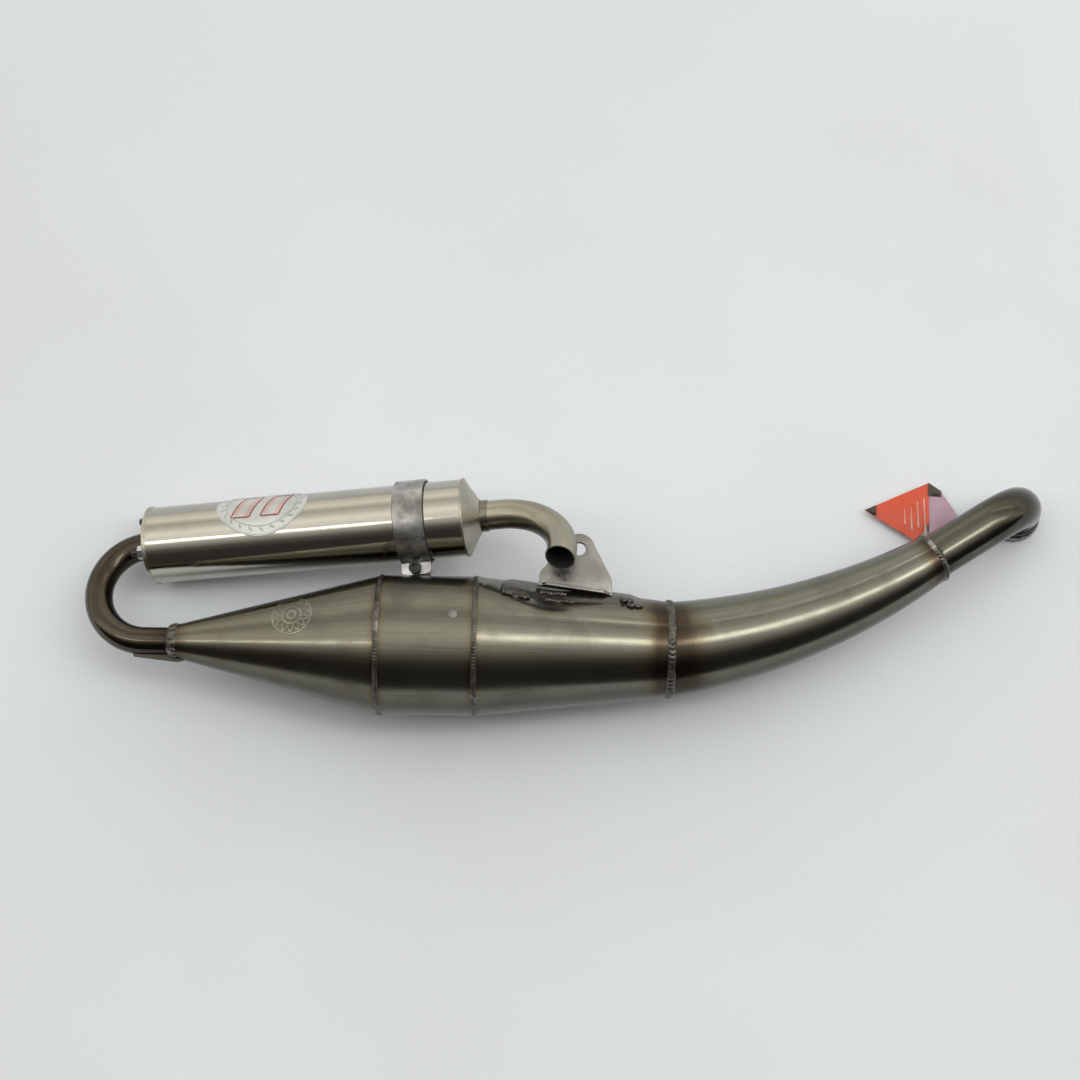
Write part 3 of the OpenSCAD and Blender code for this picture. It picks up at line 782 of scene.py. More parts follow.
def welds():
    x_axis, y_axis = Vector((1, 0, 0)), Vector((0, 1, 0))

    def belly_rear(x, angle):
        return baffle_radius(x) if x < 0 else BELLY_R

    def belly_front(x, angle):
        s = BELLY_LEN + x
        return BELLY_R if x < 0 else cone_radius(s) + pressed(s, angle)

    def throat(x, angle):
        return cone_radius(THROAT_X + x) if x < 0 else curve_radius(x / CURVE_LEN) - 0.02 * x

    def collar(x, angle):
        return baffle_radius(BAFFLE_X + x) if x > 0 else COLLAR_R - 0.35 * min(-x, 4 * MM)

    def header_joint(x, angle):
        return CURVE_END_R if x < 0.5 * MM else max(HEADER_R, CURVE_END_R - (x - 0.5 * MM) * 0.8)

    weld_ring("belly_weld_bead", "belly_weld", on_chamber(0), x_axis, y_axis, belly_rear,
              2.1 * MM, 0.85 * MM, 11, rough=0.04)
    weld_ring("cone_weld_bead", "cone_weld", on_chamber(BELLY_LEN), x_axis, y_axis, belly_front,
              2.3 * MM, 0.85 * MM, 12, rough=0.05)
    weld_ring("throat_weld_bead", "throat_weld", on_chamber(THROAT_X), x_axis, y_axis, throat,
              3.3 * MM, 1.9 * MM, 13, ripple=4 * MM, rough=0.3)
    weld_ring("collar_weld_bead", "collar_weld", on_chamber(BAFFLE_X), x_axis, y_axis, collar,
              3.9 * MM, 1.5 * MM, 14, ripple=4.4 * MM, rough=0.42)
    weld_ring("header_weld_bead", "header_weld", CURVE_TIP, HEADING, Vector((0, 0, 1)), header_joint,
              3.2 * MM, 1.3 * MM, 15, ripple=3 * MM, rough=0.2)
    flange_top = Vector((0, 0, FLANGE_T))
    weld_ring("flange_weld_bead", "flange_weld", flange_top + Vector((0, 0, 1.2 * MM)), Vector((0, 0, 1)),
              HEADING, lambda x, angle: HEADER_R + max(0, 1.2 * MM - x) * 0.9, 2.2 * MM, 0.9 * MM, 16)


# ------------------------------------------------------------------ stinger
def bend_points(count):
    """The U-bend from the chamber axis round to the silencer axis, as in the CAD model."""
    start = on_chamber(STINGER_BEND_X)
    end = CAN_FRONT - CAN_DIR * 4 * MM
    reach = 39 * MM
    middle, half = (start + end) / 2, (end - start) / 2
    points = []
    for i in range(count + 1):
        turn = math.pi * i / count
        out = ((1 - i / count) * Vector((-1, 0, 0)) - i / count * CAN_DIR).normalized()
        points.append(middle - half * math.cos(turn) + reach * math.sin(turn) * out)
    return points


def stinger():
    bend = bend_points(72)
    lead = [on_chamber(s) for s in stations(BAFFLE_X + 3 * MM, STINGER_BEND_X, 8)[:-1]]
    tail = [bend[-1] + CAN_DIR * 28 * MM * t for t in stations(0, 1, 8)[1:]]
    path = lead + bend + tail
    total = len(path) - 1
    plane = (CAN_FRONT - on_chamber(0)).cross(Vector((1, 0, 0))).normalized()
    mesh = tube("stinger_tube", path, [STINGER_R] * (total + 1), plane, 1.5 * MM, around=96,
                heat=lambda i: 0.9 * math.exp(-i / 5) + 0.35 * ease(i / total) + 0.18)
    new_object("stinger_tube", mesh, STINGER_STEEL, CHAMBER, ["stinger_pipe"])


def stinger_stay():
    """A flat stay under the stinger, from its bend to the foot of the cone."""
    outline = [(-196, -9), (-194, -12.8), (-160, -16.6), (-153, -15.1), (-160, -13), (-168, -10.4)]
    points = [((BELLY_LO.x + x * MM), AXIS_Y + y * MM) for x, y in outline]
    mesh = plate("stinger_stay", [points], 2 * MM, 0.4 * MM, Matrix.Translation((0, 0, AXIS_Z)))
    new_object("stinger_stay", mesh, STAY_STEEL, CHAMBER, ["stinger_gusset"])


# ------------------------------------------------------------------ more shapes
def capped(mesh):
    """Closes the open ends of a swept mesh."""
    bm = bmesh.new()
    bm.from_mesh(mesh)
    bmesh.ops.holes_fill(bm, edges=[e for e in bm.edges if e.is_boundary], sides=0)
    bmesh.ops.recalc_face_normals(bm, faces=bm.faces)
    bm.to_mesh(mesh)
    bm.free()
    return mesh


def weld_run(name, node, points, size, seed, body=CHAMBER, sink=0.35):
    """A lumpy run of weld along points, made of overlapping puddles."""
    rng = random.Random(seed)
    lengths = [0.0]
    for a, b in zip(points, points[1:]):
        lengths.append(lengths[-1] + (b - a).length)
    total = lengths[-1]
    steps = max(10, int(total / (0.35 * MM)))
    centres, radii = [], []
    for i in range(steps + 1):
        reach = total * i / steps
        k = max(j for j in range(len(points) - 1) if lengths[j] <= reach + 1e-9)
        t = (reach - lengths[k]) / max(1e-9, lengths[k + 1] - lengths[k])
        centres.append(points[k].lerp(points[k + 1], min(1, t)))
        end = min(reach, total - reach) / (size * 0.8)
        puddle = 0.68 + 0.32 * math.sin(math.pi * ((reach / (2.9 * MM)) % 1.0)) ** 0.7
        radii.append(size * puddle * math.sqrt(max(0.03, 1 - (1 - min(1, end)) ** 2)))
    slow = [rng.uniform(-0.26, 0.26) for _ in range(steps // 5 + 2)]
    radii = [r * (1 + slow[i // 5] + (slow[i // 5 + 1] - slow[i // 5]) * (i % 5) / 5)
             for i, r in enumerate(radii)]
    frames = frames_along(centres, (points[1] - points[0]).orthogonal())
    rings = []
    for centre, radius, (normal, binormal) in zip(centres, radii, frames):
        rings.append([
            centre + radius * (math.cos(a) * normal + math.sin(a) * binormal)
            for a in (2 * math.pi * k / 20 for k in range(20))
        ])
    mesh = capped(grid_mesh(name, rings))
    smooth(mesh, 60)
    return new_object(name, mesh, WELD, body, [node])


def turned(name, profile, matrix, around=72, angle=30):
    """Like lathe, but a radius may be a function of the angle about the matrix's X axis."""
    rings = []
    for along, radius in profile:
        ring = []
        for k in range(around):
            a = 2 * math.pi * k / around
            r = radius(a) if callable(radius) else radius
            x = along(a) if callable(along) else along
            ring.append(matrix @ Vector((x, r * math.cos(a), r * math.sin(a))))
        rings.append(ring)
    mesh = grid_mesh(name, rings, closed_along=True)
    orient_outwards(mesh)
    smooth(mesh, angle)
    return mesh


def hexagon(across):
    """Radius of a hexagon of that width across its flats, by angle."""
    def radius(a):
        return across / 2 / math.cos((a + math.pi / 6) % (math.pi / 3) - math.pi / 6)
    return radius


def nut_mesh(name, matrix, across, height, bore):
    """A hexagon nut along the matrix's X axis, with chamfered corners."""
    flat = hexagon(across)
    crown = across / 2 * 0.97

    def chamfer(a):
        return max(0.0, flat(a) - crown) * 0.6

    profile = [
        (0.6 * MM, bore), (0, bore + 0.6 * MM), (0, crown), (chamfer, flat),
        (lambda a: height - chamfer(a), flat), (height, crown), (height, bore + 0.6 * MM),
        (height - 0.6 * MM, bore),
    ]
    return turned(name, profile, matrix, around=144, angle=28)


def ring_mesh(name, matrix, start, length, outer, inner, edge=0.3 * MM, around=96):
    profile = rounded(
        [(start, inner), (start, outer), (start + length, outer), (start + length, inner)], edge, 3,
    )
    return lathe(name, profile, matrix, around)


def thread(start, end, radius, pitch=1 * MM, depth=0.45 * MM):
    """Profile of a threaded rod from start to end, closed along its axis."""
    points = [(start, 0.01 * MM), (start, radius - depth)]
    count = int((end - start) / pitch)
    for i in range(count):
        x = start + (i + 0.5) * (end - start) / count
        points.append((x, radius))
        if i < count - 1:
            points.append((x + 0.5 * (end - start) / count, radius - depth))
    return points + [(end, radius - depth), (end, 0.01 * MM)]


def ribbon(name, path, half_width, thickness, matrix, edge=0.35 * MM):
    """A flat strip that follows a path of (y, z) points, with its width along the matrix's X axis."""
    rings = []
    for i, point in enumerate(path):
        ahead = Vector(path[min(i + 1, len(path) - 1)])
        behind = Vector(path[max(i - 1, 0)])
        tangent = (ahead - behind).normalized()
        normal = Vector((-tangent.y, tangent.x))
        w, t = half_width(i), thickness(i) / 2
        section = rounded([(-w, -t), (w, -t), (w, t), (-w, t)], edge, 3)
        rings.append([
            matrix @ Vector((x, point[0] + n * normal.x, point[1] + n * normal.y)) for x, n in section
        ])
    mesh = capped(grid_mesh(name, rings))
    smooth(mesh, 35)
    return mesh


def on_cone(s, turn, lift=0.0):
    """A point on the diffuser cone's surface: station s, turned from +Y towards +Z."""
    radius = cone_radius(s) + pressed(s, turn) + lift
    return on_chamber(s, radius * math.cos(turn), radius * math.sin(turn))


# ------------------------------------------------------------------ bracket
DOUBLER_T = 2 * MM
BRACKET_TURN = math.atan2(24, 38)
HOLE_S = BRACKET_HOLE.x - BELLY_LO.x
HOLE_Y = BRACKET_HOLE.y - AXIS_Y


def foot_y(s, height):
    """How far out the doubler's surface is at station s and that height above the chamber axis."""
    radius = cone_radius(s) + DOUBLER_T
    return math.sqrt(max(0.0, radius * radius - height * height)) - 1.5 * MM


def bracket():
    lift = 24 * MM
    near, far = 122 * MM, 181 * MM
    lug = arc((HOLE_S, HOLE_Y), 12.5 * MM, 12, 158, 30)
    outline = (
        [(near, foot_y(near, lift)), (far, foot_y(far, lift))]
        + arc((far - 12 * MM, foot_y(far, lift) + 10 * MM), 12 * MM, -8, 24, 6) + lug
        + arc((near + 11 * MM, foot_y(near, lift) + 7 * MM), 9 * MM, 150, 196, 6)
    )
    hole = arc((HOLE_S, HOLE_Y), 5.25 * MM, 0, 355, 71)
    matrix = Matrix.Translation((BELLY_LO.x, AXIS_Y, AXIS_Z + lift))
    mesh = plate("bracket_lug", [outline, hole], BRACKET_T, 0.5 * MM, matrix)
    new_object("bracket_lug", mesh, BRACKET_STEEL, CHAMBER, ["bracket_plate"])

    # The foot's turned-up edge
    height = 9 * MM
    run = math.hypot(far - near, foot_y(near, lift) - foot_y(far, lift))
    side = Vector((far - near, foot_y(far, lift) - foot_y(near, lift), 0)).normalized()
    across = Vector((0, 0, 1)).cross(side)
    corner = on_chamber(near, foot_y(near, lift) + 1.2 * MM, lift - 2 * MM)
    placing = Matrix.Translation(corner) @ Matrix((side, Vector((0, 0, 1)), -across)).transposed().to_4x4()
    outline = [(0.5 * MM, 0), (run, 0), (run, 2.5 * MM), (run - 7 * MM, height), (8 * MM, height)]
    mesh = plate("bracket_foot", [rounded(outline, 1.2 * MM, 3)], 2.6 * MM, 0.4 * MM, placing)
    new_object("bracket_foot", mesh, BRACKET_STEEL, CHAMBER)

    # The doubler follows the cone, with its ends and sides rounded down to it
    places = stations(95 * MM, 204 * MM, 72)
    turns = stations(BRACKET_TURN - math.radians(17), BRACKET_TURN + math.radians(17), 24)
    rings = []
    for i, s in enumerate(places):
        end = min(i, len(places) - 1 - i) / 3
        ring = []
        for k, turn in enumerate(turns):
            front_drop = math.sqrt(max(0, 1 - (1 - min(1, k / 1.5)) ** 2))
            back_drop = ease((len(turns) - 1 - k) / 9)
            end_drop = ease(end / 2)
            raise_by = DOUBLER_T * min(front_drop, back_drop, end_drop)
            ring.append(on_cone(s, turn, raise_by))
        ring += [on_cone(s, turn, -0.6 * MM) for turn in reversed(turns)]
        rings.append(ring)
    mesh = capped(grid_mesh("bracket_pad", rings))
    smooth(mesh, 40)
    new_object("bracket_pad", mesh, PAD_STEEL, CHAMBER, ["bracket_doubler"])


def bracket_welds():
    def on_pad(s, degrees_up, lift=DOUBLER_T):
        return on_cone(s, BRACKET_TURN + math.radians(degrees_up), lift)

    edge = 17
    weld_run("stitch_low", "bracket_weld", [on_pad(96 * MM, edge - 13), on_pad(96 * MM, edge, 1 * MM),
             on_pad(104 * MM, edge + 0.5, 1 * MM)], 1.8 * MM, 31)
    runs = [
        ("stitch_middle", (108, 117), edge + 0.5, 2.0), ("stitch_inner", (124, 146), 5, 2.1),
        ("stitch_edge", (128, 152), edge + 0.5, 1.7), ("stitch_outer", (187, 197), 11, 1.9),
        ("stitch_last", (192, 205), edge, 1.9),
    ]
    for i, (name, (start, end), up, size) in enumerate(runs):
        lift = DOUBLER_T if up < edge - 1 else 0.8 * MM
        run = [on_pad(s * MM, up + 1.3 * math.sin(k * 2.1 + i), lift) for k, s in
               enumerate([start + (end - start) * t / 7 for t in range(8)])]
        weld_run(name, "bracket_weld", run, size * MM, 32 + i)


# ------------------------------------------------------------------ clamp
CLAMP_CENTRE = CAN_FRONT + CAN_DIR * CLAMP_X
CLAMP_ROLL = math.pi / 2 + math.atan2(CLAMP_CENTRE.z - AXIS_Z, CLAMP_CENTRE.y - AXIS_Y)
CLAMP = CAN @ Matrix.Translation((CLAMP_X, 0, 0)) @ Matrix.Rotation(CLAMP_ROLL, 4, "X")
LINER_T, BAND_T = 1 * MM, 1.5 * MM
BAND_IN_R = CAN_R + 0.3 * MM + LINER_T
BAND_OUT_R = BAND_IN_R + BAND_T
TAB_T, EAR_T, EAR_REACH = 3 * MM, 2.5 * MM, 11 * MM
EAR_TOP = TAB_T / 2 + EAR_T
EAR_BOLT = BAND_OUT_R + 5.5 * MM
WASHER_T = 1.4 * MM
BELLY_GAP = math.hypot(CLAMP_CENTRE.y - AXIS_Y, CLAMP_CENTRE.z - AXIS_Z) - BELLY_R


def band_path():
    """(y, z) points of the clamp band's middle line, from one ear round to the other."""
    middle = BAND_IN_R + BAND_T / 2
    ear_y = TAB_T / 2 + EAR_T / 2
    bend = 3 * MM
    centre = Vector((ear_y + bend, math.sqrt((middle + bend) ** 2 - (ear_y + bend) ** 2)))
    meets = math.atan2(centre.y, centre.x)
    ear_end = BAND_OUT_R - 1 * MM + EAR_REACH
    half = [(ear_y, ear_end + (centre.y - ear_end) * t) for t in stations(0, 1, 16)]
    turn = stations(math.pi, math.pi + meets, 8)[1:]
    half += [(centre.x + bend * math.cos(a), centre.y + bend * math.sin(a)) for a in turn]
    round_trip = stations(meets, -math.pi / 2, 72)[1:]
    half += [(middle * math.cos(a), middle * math.sin(a)) for a in round_trip]
    return half + [(-y, z) for y, z in reversed(half[:-1])]


def clamp():
    path = band_path()
    travelled = [0.0]
    for a, b in zip(path, path[1:]):
        travelled.append(travelled[-1] + math.dist(a, b))

    def from_end(i):
        return min(travelled[i], travelled[-1] - travelled[i])

    def half_width(i):
        corner = 4 * MM
        gone = max(0.0, corner - from_end(i))
        return CLAMP_W / 2 - corner + math.sqrt(corner * corner - gone * gone)

    def thickness(i):
        return BAND_T + (EAR_T - BAND_T) * ease((12 * MM - from_end(i)) / (4 * MM))

    mesh = ribbon("clamp_strap", path, half_width, thickness, CLAMP)
    new_object("clamp_strap", mesh, BAND, CHAMBER, ["clamp_band"])

    # The rubber liner shows as a thin dark edge on each side of the band
    start = math.radians(86)
    loop = [(
        (CAN_R + 0.3 * MM + LINER_T / 2) * math.cos(a), (CAN_R + 0.3 * MM + LINER_T / 2) * math.sin(a),
    ) for a in stations(start, start - 2 * math.pi + math.radians(8), 96)]
    mesh = ribbon("clamp_rubber", loop, lambda i: CLAMP_W / 2 + 0.6 * MM, lambda i: 0.9 * MM, CLAMP)
    new_object("clamp_rubber", mesh, LINER, CHAMBER, ["clamp_liner"])

    # Tab between the ears, welded to the belly
    upright = CLAMP @ Matrix.Rotation(math.pi / 2, 4, "X")
    outline = rounded([
        (-11 * MM, BAND_OUT_R + 1.5 * MM), (11 * MM, BAND_OUT_R + 1.5 * MM),
        (11 * MM, BELLY_GAP + 2.5 * MM), (-11 * MM, BELLY_GAP + 2.5 * MM),
    ], [2 * MM, 2 * MM, 0, 0])
    mesh = plate("clamp_tab", [outline], TAB_T, 0.4 * MM, upright)
    new_object("clamp_tab", mesh, BRACKET_STEEL, CHAMBER, ["belly_tab"])
    for side, name in ((1, "tab_bead_upper"), (-1, "tab_bead_lower")):
        run = [CLAMP @ Vector((x * MM, side * (TAB_T / 2 + 0.5 * MM), BELLY_GAP + 0.4 * MM))
               for x in (-11, -6, -2, 3, 7, 11)]
        weld_run(name, "tab_weld", run, 1.9 * MM, 40 + side)

    # Bolt, washers and nut, along the clamp's Y axis
    bolt = CLAMP @ Matrix.Translation((0, 0, EAR_BOLT)) @ Matrix.Rotation(math.pi / 2, 4, "Z")
    head = EAR_TOP + WASHER_T
    socket = hexagon(5 * MM)
    profile = [
        (head, 0.01 * MM), (head, 4.7 * MM), (head + 0.3 * MM, 5 * MM), (head + 4.9 * MM, 5 * MM),
        (head + 5.3 * MM, 4.8 * MM), (head + 5.5 * MM, 4.4 * MM), (head + 5.5 * MM, 3.3 * MM),
        (head + 5.2 * MM, socket), (head + 2.4 * MM, socket), (head + 2 * MM, 0.01 * MM),
    ]
    mesh = turned("clamp_screw", profile, bolt, around=96)
    new_object("clamp_screw", mesh, BLACK_BOLT, CHAMBER, ["clamp_bolt"])
    mesh = lathe("clamp_screw_end", thread(-head - 9 * MM, -EAR_TOP + 1 * MM, 3 * MM), bolt, 48, 50)
    new_object("clamp_screw_end", mesh, BLACK_BOLT, CHAMBER)
    shank = [(-EAR_TOP, 0.01 * MM), (-EAR_TOP, 2.9 * MM), (head, 2.9 * MM), (head, 0.01 * MM)]
    mesh = lathe("clamp_screw_shank", shank, bolt, 48)
    new_object("clamp_screw_shank", mesh, BLACK_BOLT, CHAMBER)
    seat = bolt @ Matrix.Translation((-head - 5 * MM, 0, 0))
    mesh = nut_mesh("clamp_hex_nut", seat, 10 * MM, 5 * MM, 2.9 * MM)
    new_object("clamp_hex_nut", mesh, ZINC, CHAMBER, ["clamp_nut"])
    for name, start in (("clamp_washer_upper", EAR_TOP), ("clamp_washer_lower", -head)):
        mesh = ring_mesh(name, bolt, start, WASHER_T, 5.2 * MM, 2.9 * MM)
        new_object(name, mesh, ZINC, CHAMBER, ["clamp_washers"])


# ------------------------------------------------------------------ silencer
def along_can(x, y=0.0, z=0.0):
    return CAN @ Vector((x, y, z))


def silencer_body():
    places = stations(CAP_T, CAN_LEN, 40)
    up = CAN.to_3x3() @ Vector((0, 0, 1))
    mesh = tube("sleeve", [along_can(x) for x in places], [CAN_R] * len(places), up, 1 * MM, around=192)
    new_object("sleeve", mesh, MIRROR, SILENCER, ["can_sleeve"])

    rim, lip = CAN_R + 1 * MM, CAN_R - 1 * MM
    bore = STINGER_R + 2 * MM
    profile = (
        [(0.8 * MM, bore), (0.2 * MM, bore + 1 * MM), (0, CAN_R - 4 * MM)]
        + round_corner((0, CAN_R - 4 * MM), (-0.05 * MM, rim), (CAP_T, rim), 1 * MM)
        + round_corner((0, rim), (2.2 * MM, rim), (2.2 * MM, lip), 0.7 * MM)
        + [(2.4 * MM, CAN_R + 0.25 * MM), (CAP_T, CAN_R + 0.2 * MM), (CAP_T, lip), (CAP_T + 7 * MM, lip)]
        + [(CAP_T + 7 * MM, lip - 1.2 * MM), (CAP_T, lip - 1.2 * MM), (CAP_T, bore)]
    )
    mesh = lathe("front_plate", profile, CAN, 160)
    new_object("front_plate", mesh, CAP_STEEL, SILENCER, ["front_cap"])

    inner, outer = STINGER_R + 0.3 * MM, STINGER_R + 3.5 * MM
    profile = (
        [(-2 * MM, inner)] + round_corner((-2 * MM, inner), (-2 * MM, outer), (0, outer), 0.7 * MM)
        + [(0, outer), (0, bore), (18 * MM, bore), (18 * MM, inner)]
    )
    mesh = lathe("inlet_ring", profile, CAN, 128)
    new_object("inlet_ring", mesh, CAP_STEEL, SILENCER, ["inlet_collar"])

    for i in range(3):
        turn = Matrix.Rotation(2 * math.pi * i / 3, 4, "X")
        place = CAN @ turn @ Matrix.Translation((0, 21 * MM, 0))
        mesh = lathe(f"front_stud_{i}", thread(-12 * MM, 8.9 * MM, 3 * MM), place, 48, 50)
        new_object(f"front_stud_{i}", mesh, ZINC_DARK, SILENCER, ["cap_studs"])
        seat = place @ Matrix.Translation((-WASHER_T - 5 * MM, 0, 0))
        mesh = nut_mesh(f"front_nut_{i}", seat, 10 * MM, 5 * MM, 2.9 * MM)
        new_object(f"front_nut_{i}", mesh, ZINC, SILENCER, ["cap_nuts"])
        mesh = ring_mesh(f"front_washer_{i}", place, -WASHER_T, WASHER_T, 6 * MM, 2.9 * MM)
        new_object(f"front_washer_{i}", mesh, ZINC, SILENCER, ["cap_washers"])


def silencer_rear():
    rim = CAN_R + 0.8 * MM
    neck = TAIL_R + 1.4 * MM
    end = CAN_LEN + REAR_CONE
    profile = (
        [(CAN_LEN - 7 * MM, CAN_R - 1 * MM), (CAN_LEN - 0.1 * MM, CAN_R - 1 * MM)]
        + round_corner((CAN_LEN, CAN_R - 1 * MM), (CAN_LEN, rim), (CAN_LEN + 2 * MM, rim), 0.5 * MM)
        + round_corner(
            (CAN_LEN, rim), (CAN_LEN + 1.6 * MM, rim), (CAN_LEN + 2 * MM, CAN_R - 0.2 * MM), 0.5 * MM,
        )
        + [(CAN_LEN + 1.9 * MM, CAN_R - 0.1 * MM), (CAN_LEN + 2.3 * MM, CAN_R - 0.7 * MM)]
        + [(CAN_LEN + 2.3 * MM + (REAR_CONE - 2.5 * MM) * t, CAN_R - 0.7 * MM + (neck - CAN_R + 0.7 * MM) * t
            - 0.8 * MM * math.sin(math.pi * t)) for t in stations(0.1, 1, 10)]
        + [(end, neck), (end, TAIL_R), (end - 2.5 * MM, TAIL_R)]
        + [(CAN_LEN + 1 * MM, CAN_R - 2.4 * MM), (CAN_LEN - 7 * MM, CAN_R - 2.4 * MM)]
    )
    mesh = lathe("rear_cone", profile, CAN, 160, angle=30)
    new_object("rear_cone", mesh, REAR_STEEL, SILENCER, ["rear_cap"])

    mesh = ring_mesh("tail_ring", CAN, end, 6 * MM, TAIL_R + 1 * MM, TAIL_R, 0.45 * MM, 128)
    new_object("tail_ring", mesh, TAIL_STEEL, SILENCER, ["tail_collar"])

    towards = Matrix.Rotation(TAIL_ROLL, 3, "X") @ Vector((0, 0, 1))
    start = CAN_LEN - 2 * MM
    path = [along_can(x) for x in stations(start, TAIL_STRAIGHT_END, 24)]
    for turn in stations(0, TAIL_BEND, 64)[1:]:
        out = TAIL_BEND_R * (1 - math.cos(turn)) * towards
        path.append(along_can(TAIL_STRAIGHT_END + TAIL_BEND_R * math.sin(turn), out.y, out.z))
    side = CAN.to_3x3() @ towards
    total = len(path)
    mesh = tube("tail_tube", path, [TAIL_R] * total, side, TAIL_WALL, around=128,
                heat=lambda i: 0.08 + 0.3 * math.exp(-abs(i - 10) / 5))
    new_object("tail_tube", mesh, TAIL_STEEL, SILENCER, ["tail_pipe", "tail_bend"])


# ------------------------------------------------------------------ badge
BADGE_X, BADGE_L, BADGE_W, BADGE_T = 98 * MM, 74 * MM, 50 * MM, 0.5 * MM
BADGE_TILT = math.radians(-36)


def on_badge(u, v, lift):
    """A point on the sleeve: u along it and v across it from the badge's middle."""
    radius = CAN_R + lift
    turned_point = Matrix.Rotation(BADGE_TILT, 3, "X") @ Vector((0, v, math.sqrt(radius ** 2 - v ** 2)))
    return along_can(BADGE_X + u, turned_point.y, turned_point.z)


def badge_patch(name, outline_of, lift_in, lift_out, material, rings_in=14, around=128, node=None):
    """A domed patch on the sleeve inside the closed outline outline_of(t), t from 0 to 1."""
    rings = []
    for i in range(rings_in + 1):
        share = max(0.004, i / rings_in)
        raise_by = lift_out + (lift_in - lift_out) * min(1, (1 - share) * 14)
        rings.append([
            on_badge(*(Vector(outline_of(k / around)) * share), raise_by) for k in range(around)
        ])
    rings.append([on_badge(*outline_of(k / around), 0.02 * MM) for k in range(around)])
    mesh = grid_mesh(name, rings)
    orient_outwards(mesh)
    smooth(mesh, 40)
    return new_object(name, mesh, material, SILENCER, [node] if node else ())


def strip_on_badge(name, points, width, lift, material):
    """A thin raised line on the badge through (u, v) points."""
    rings = []
    for i, point in enumerate(points):
        ahead = Vector(points[min(i + 1, len(points) - 1)])
        behind = Vector(points[max(i - 1, 0)])
        tangent = (ahead - behind).normalized()
        normal = Vector((-tangent.y, tangent.x)) * width / 2
        left, right = Vector(point) + normal, Vector(point) - normal
        rings.append([
            on_badge(*left, BADGE_T - 0.05 * MM), on_badge(*left, lift),
            on_badge(*right, lift), on_badge(*right, BADGE_T - 0.05 * MM),
        ])
    mesh = capped(grid_mesh(name, rings))
    smooth(mesh, 30)
    return new_object(name, mesh, material, SILENCER)


def badge():
    def oval(scale):
        return lambda t: (
            BADGE_L / 2 * scale * math.cos(2 * math.pi * t), BADGE_W / 2 * scale * math.sin(2 * math.pi * t),
        )

    badge_patch("badge_plate", oval(1), BADGE_T, BADGE_T, BADGE_SILVER, node="badge")
    for name, scale, width, material in (
        ("badge_rim", 0.96, 1.0, BADGE_SILVER), ("badge_inner_line", 0.78, 0.5, BADGE_GREY),
    ):
        line = [oval(scale)(t) for t in stations(0, 1, 128)]
        strip_on_badge(name, line, width * MM, BADGE_T + 0.2 * MM, material)

    # Short bars all round the border
    for k in range(22):
        inner, outer = oval(0.82)(k / 22 + 0.02), oval(0.90)(k / 22 + 0.035)
        bar = [inner, tuple(Vector(inner).lerp(Vector(outer), 0.5)), outer]
        strip_on_badge(f"badge_bar_{k}", bar, 1.3 * MM, BADGE_T + 0.12 * MM, BADGE_GREY)

    # Two slanted bands in the middle, pale red inside a dark red line
    for k, middle in enumerate((-12, 12)):
        corners = [(middle - 3, 12), (middle + 12, 12), (middle + 3, -12), (middle - 12, -12)]
        closed = corners + corners[:1]
        line = []
        for a, b in zip(closed, closed[1:]):
            line += [tuple(Vector(a).lerp(Vector(b), t) * MM) for t in stations(0, 1, 8)[:-1]]
        strip_on_badge(f"badge_band_line_{k}", line + line[:1], 1.1 * MM, BADGE_T + 0.15 * MM, BADGE_RED)
        spine = [((middle + 4.5 * t) * MM, 11.5 * t * MM) for t in stations(-1, 1, 24)]
        strip_on_badge(f"badge_band_fill_{k}", spine, 13.2 * MM, BADGE_T + 0.06 * MM, BADGE_PINK)


# ------------------------------------------------------------------ tag and its tie
def in_flange_frame(x, y):
    """A point given in millimetres from the rear belly weld, as the CAD model's outlines are."""
    return BELLY_LO.x + x * MM, AXIS_Y + y * MM


def card_panel(name, corners, lifts, material, node=None, steps=16, curl=1.6):
    """A slightly curled card with four corners, each at its own height."""
    a, b, c, d = [Vector((*in_flange_frame(*corner), lift * MM)) for corner, lift in zip(corners, lifts)]
    rings = []
    for i in range(steps + 1):
        u = i / steps
        row = []
        for k in range(steps + 1):
            v = k / steps
            point = a.lerp(b, u).lerp(d.lerp(c, u), v)
            rise = curl * MM * math.sin(math.pi * u) * math.sin(math.pi * v)
            row.append(point + Vector((0, 0, rise)))
        back = [point - Vector((0, 0, 0.7 * MM)) for point in reversed(row)]
        rings.append(row + back)
    mesh = capped(grid_mesh(name, rings))
    smooth(mesh, 30)
    return new_object(name, mesh, material, CHAMBER, [node] if node else ())


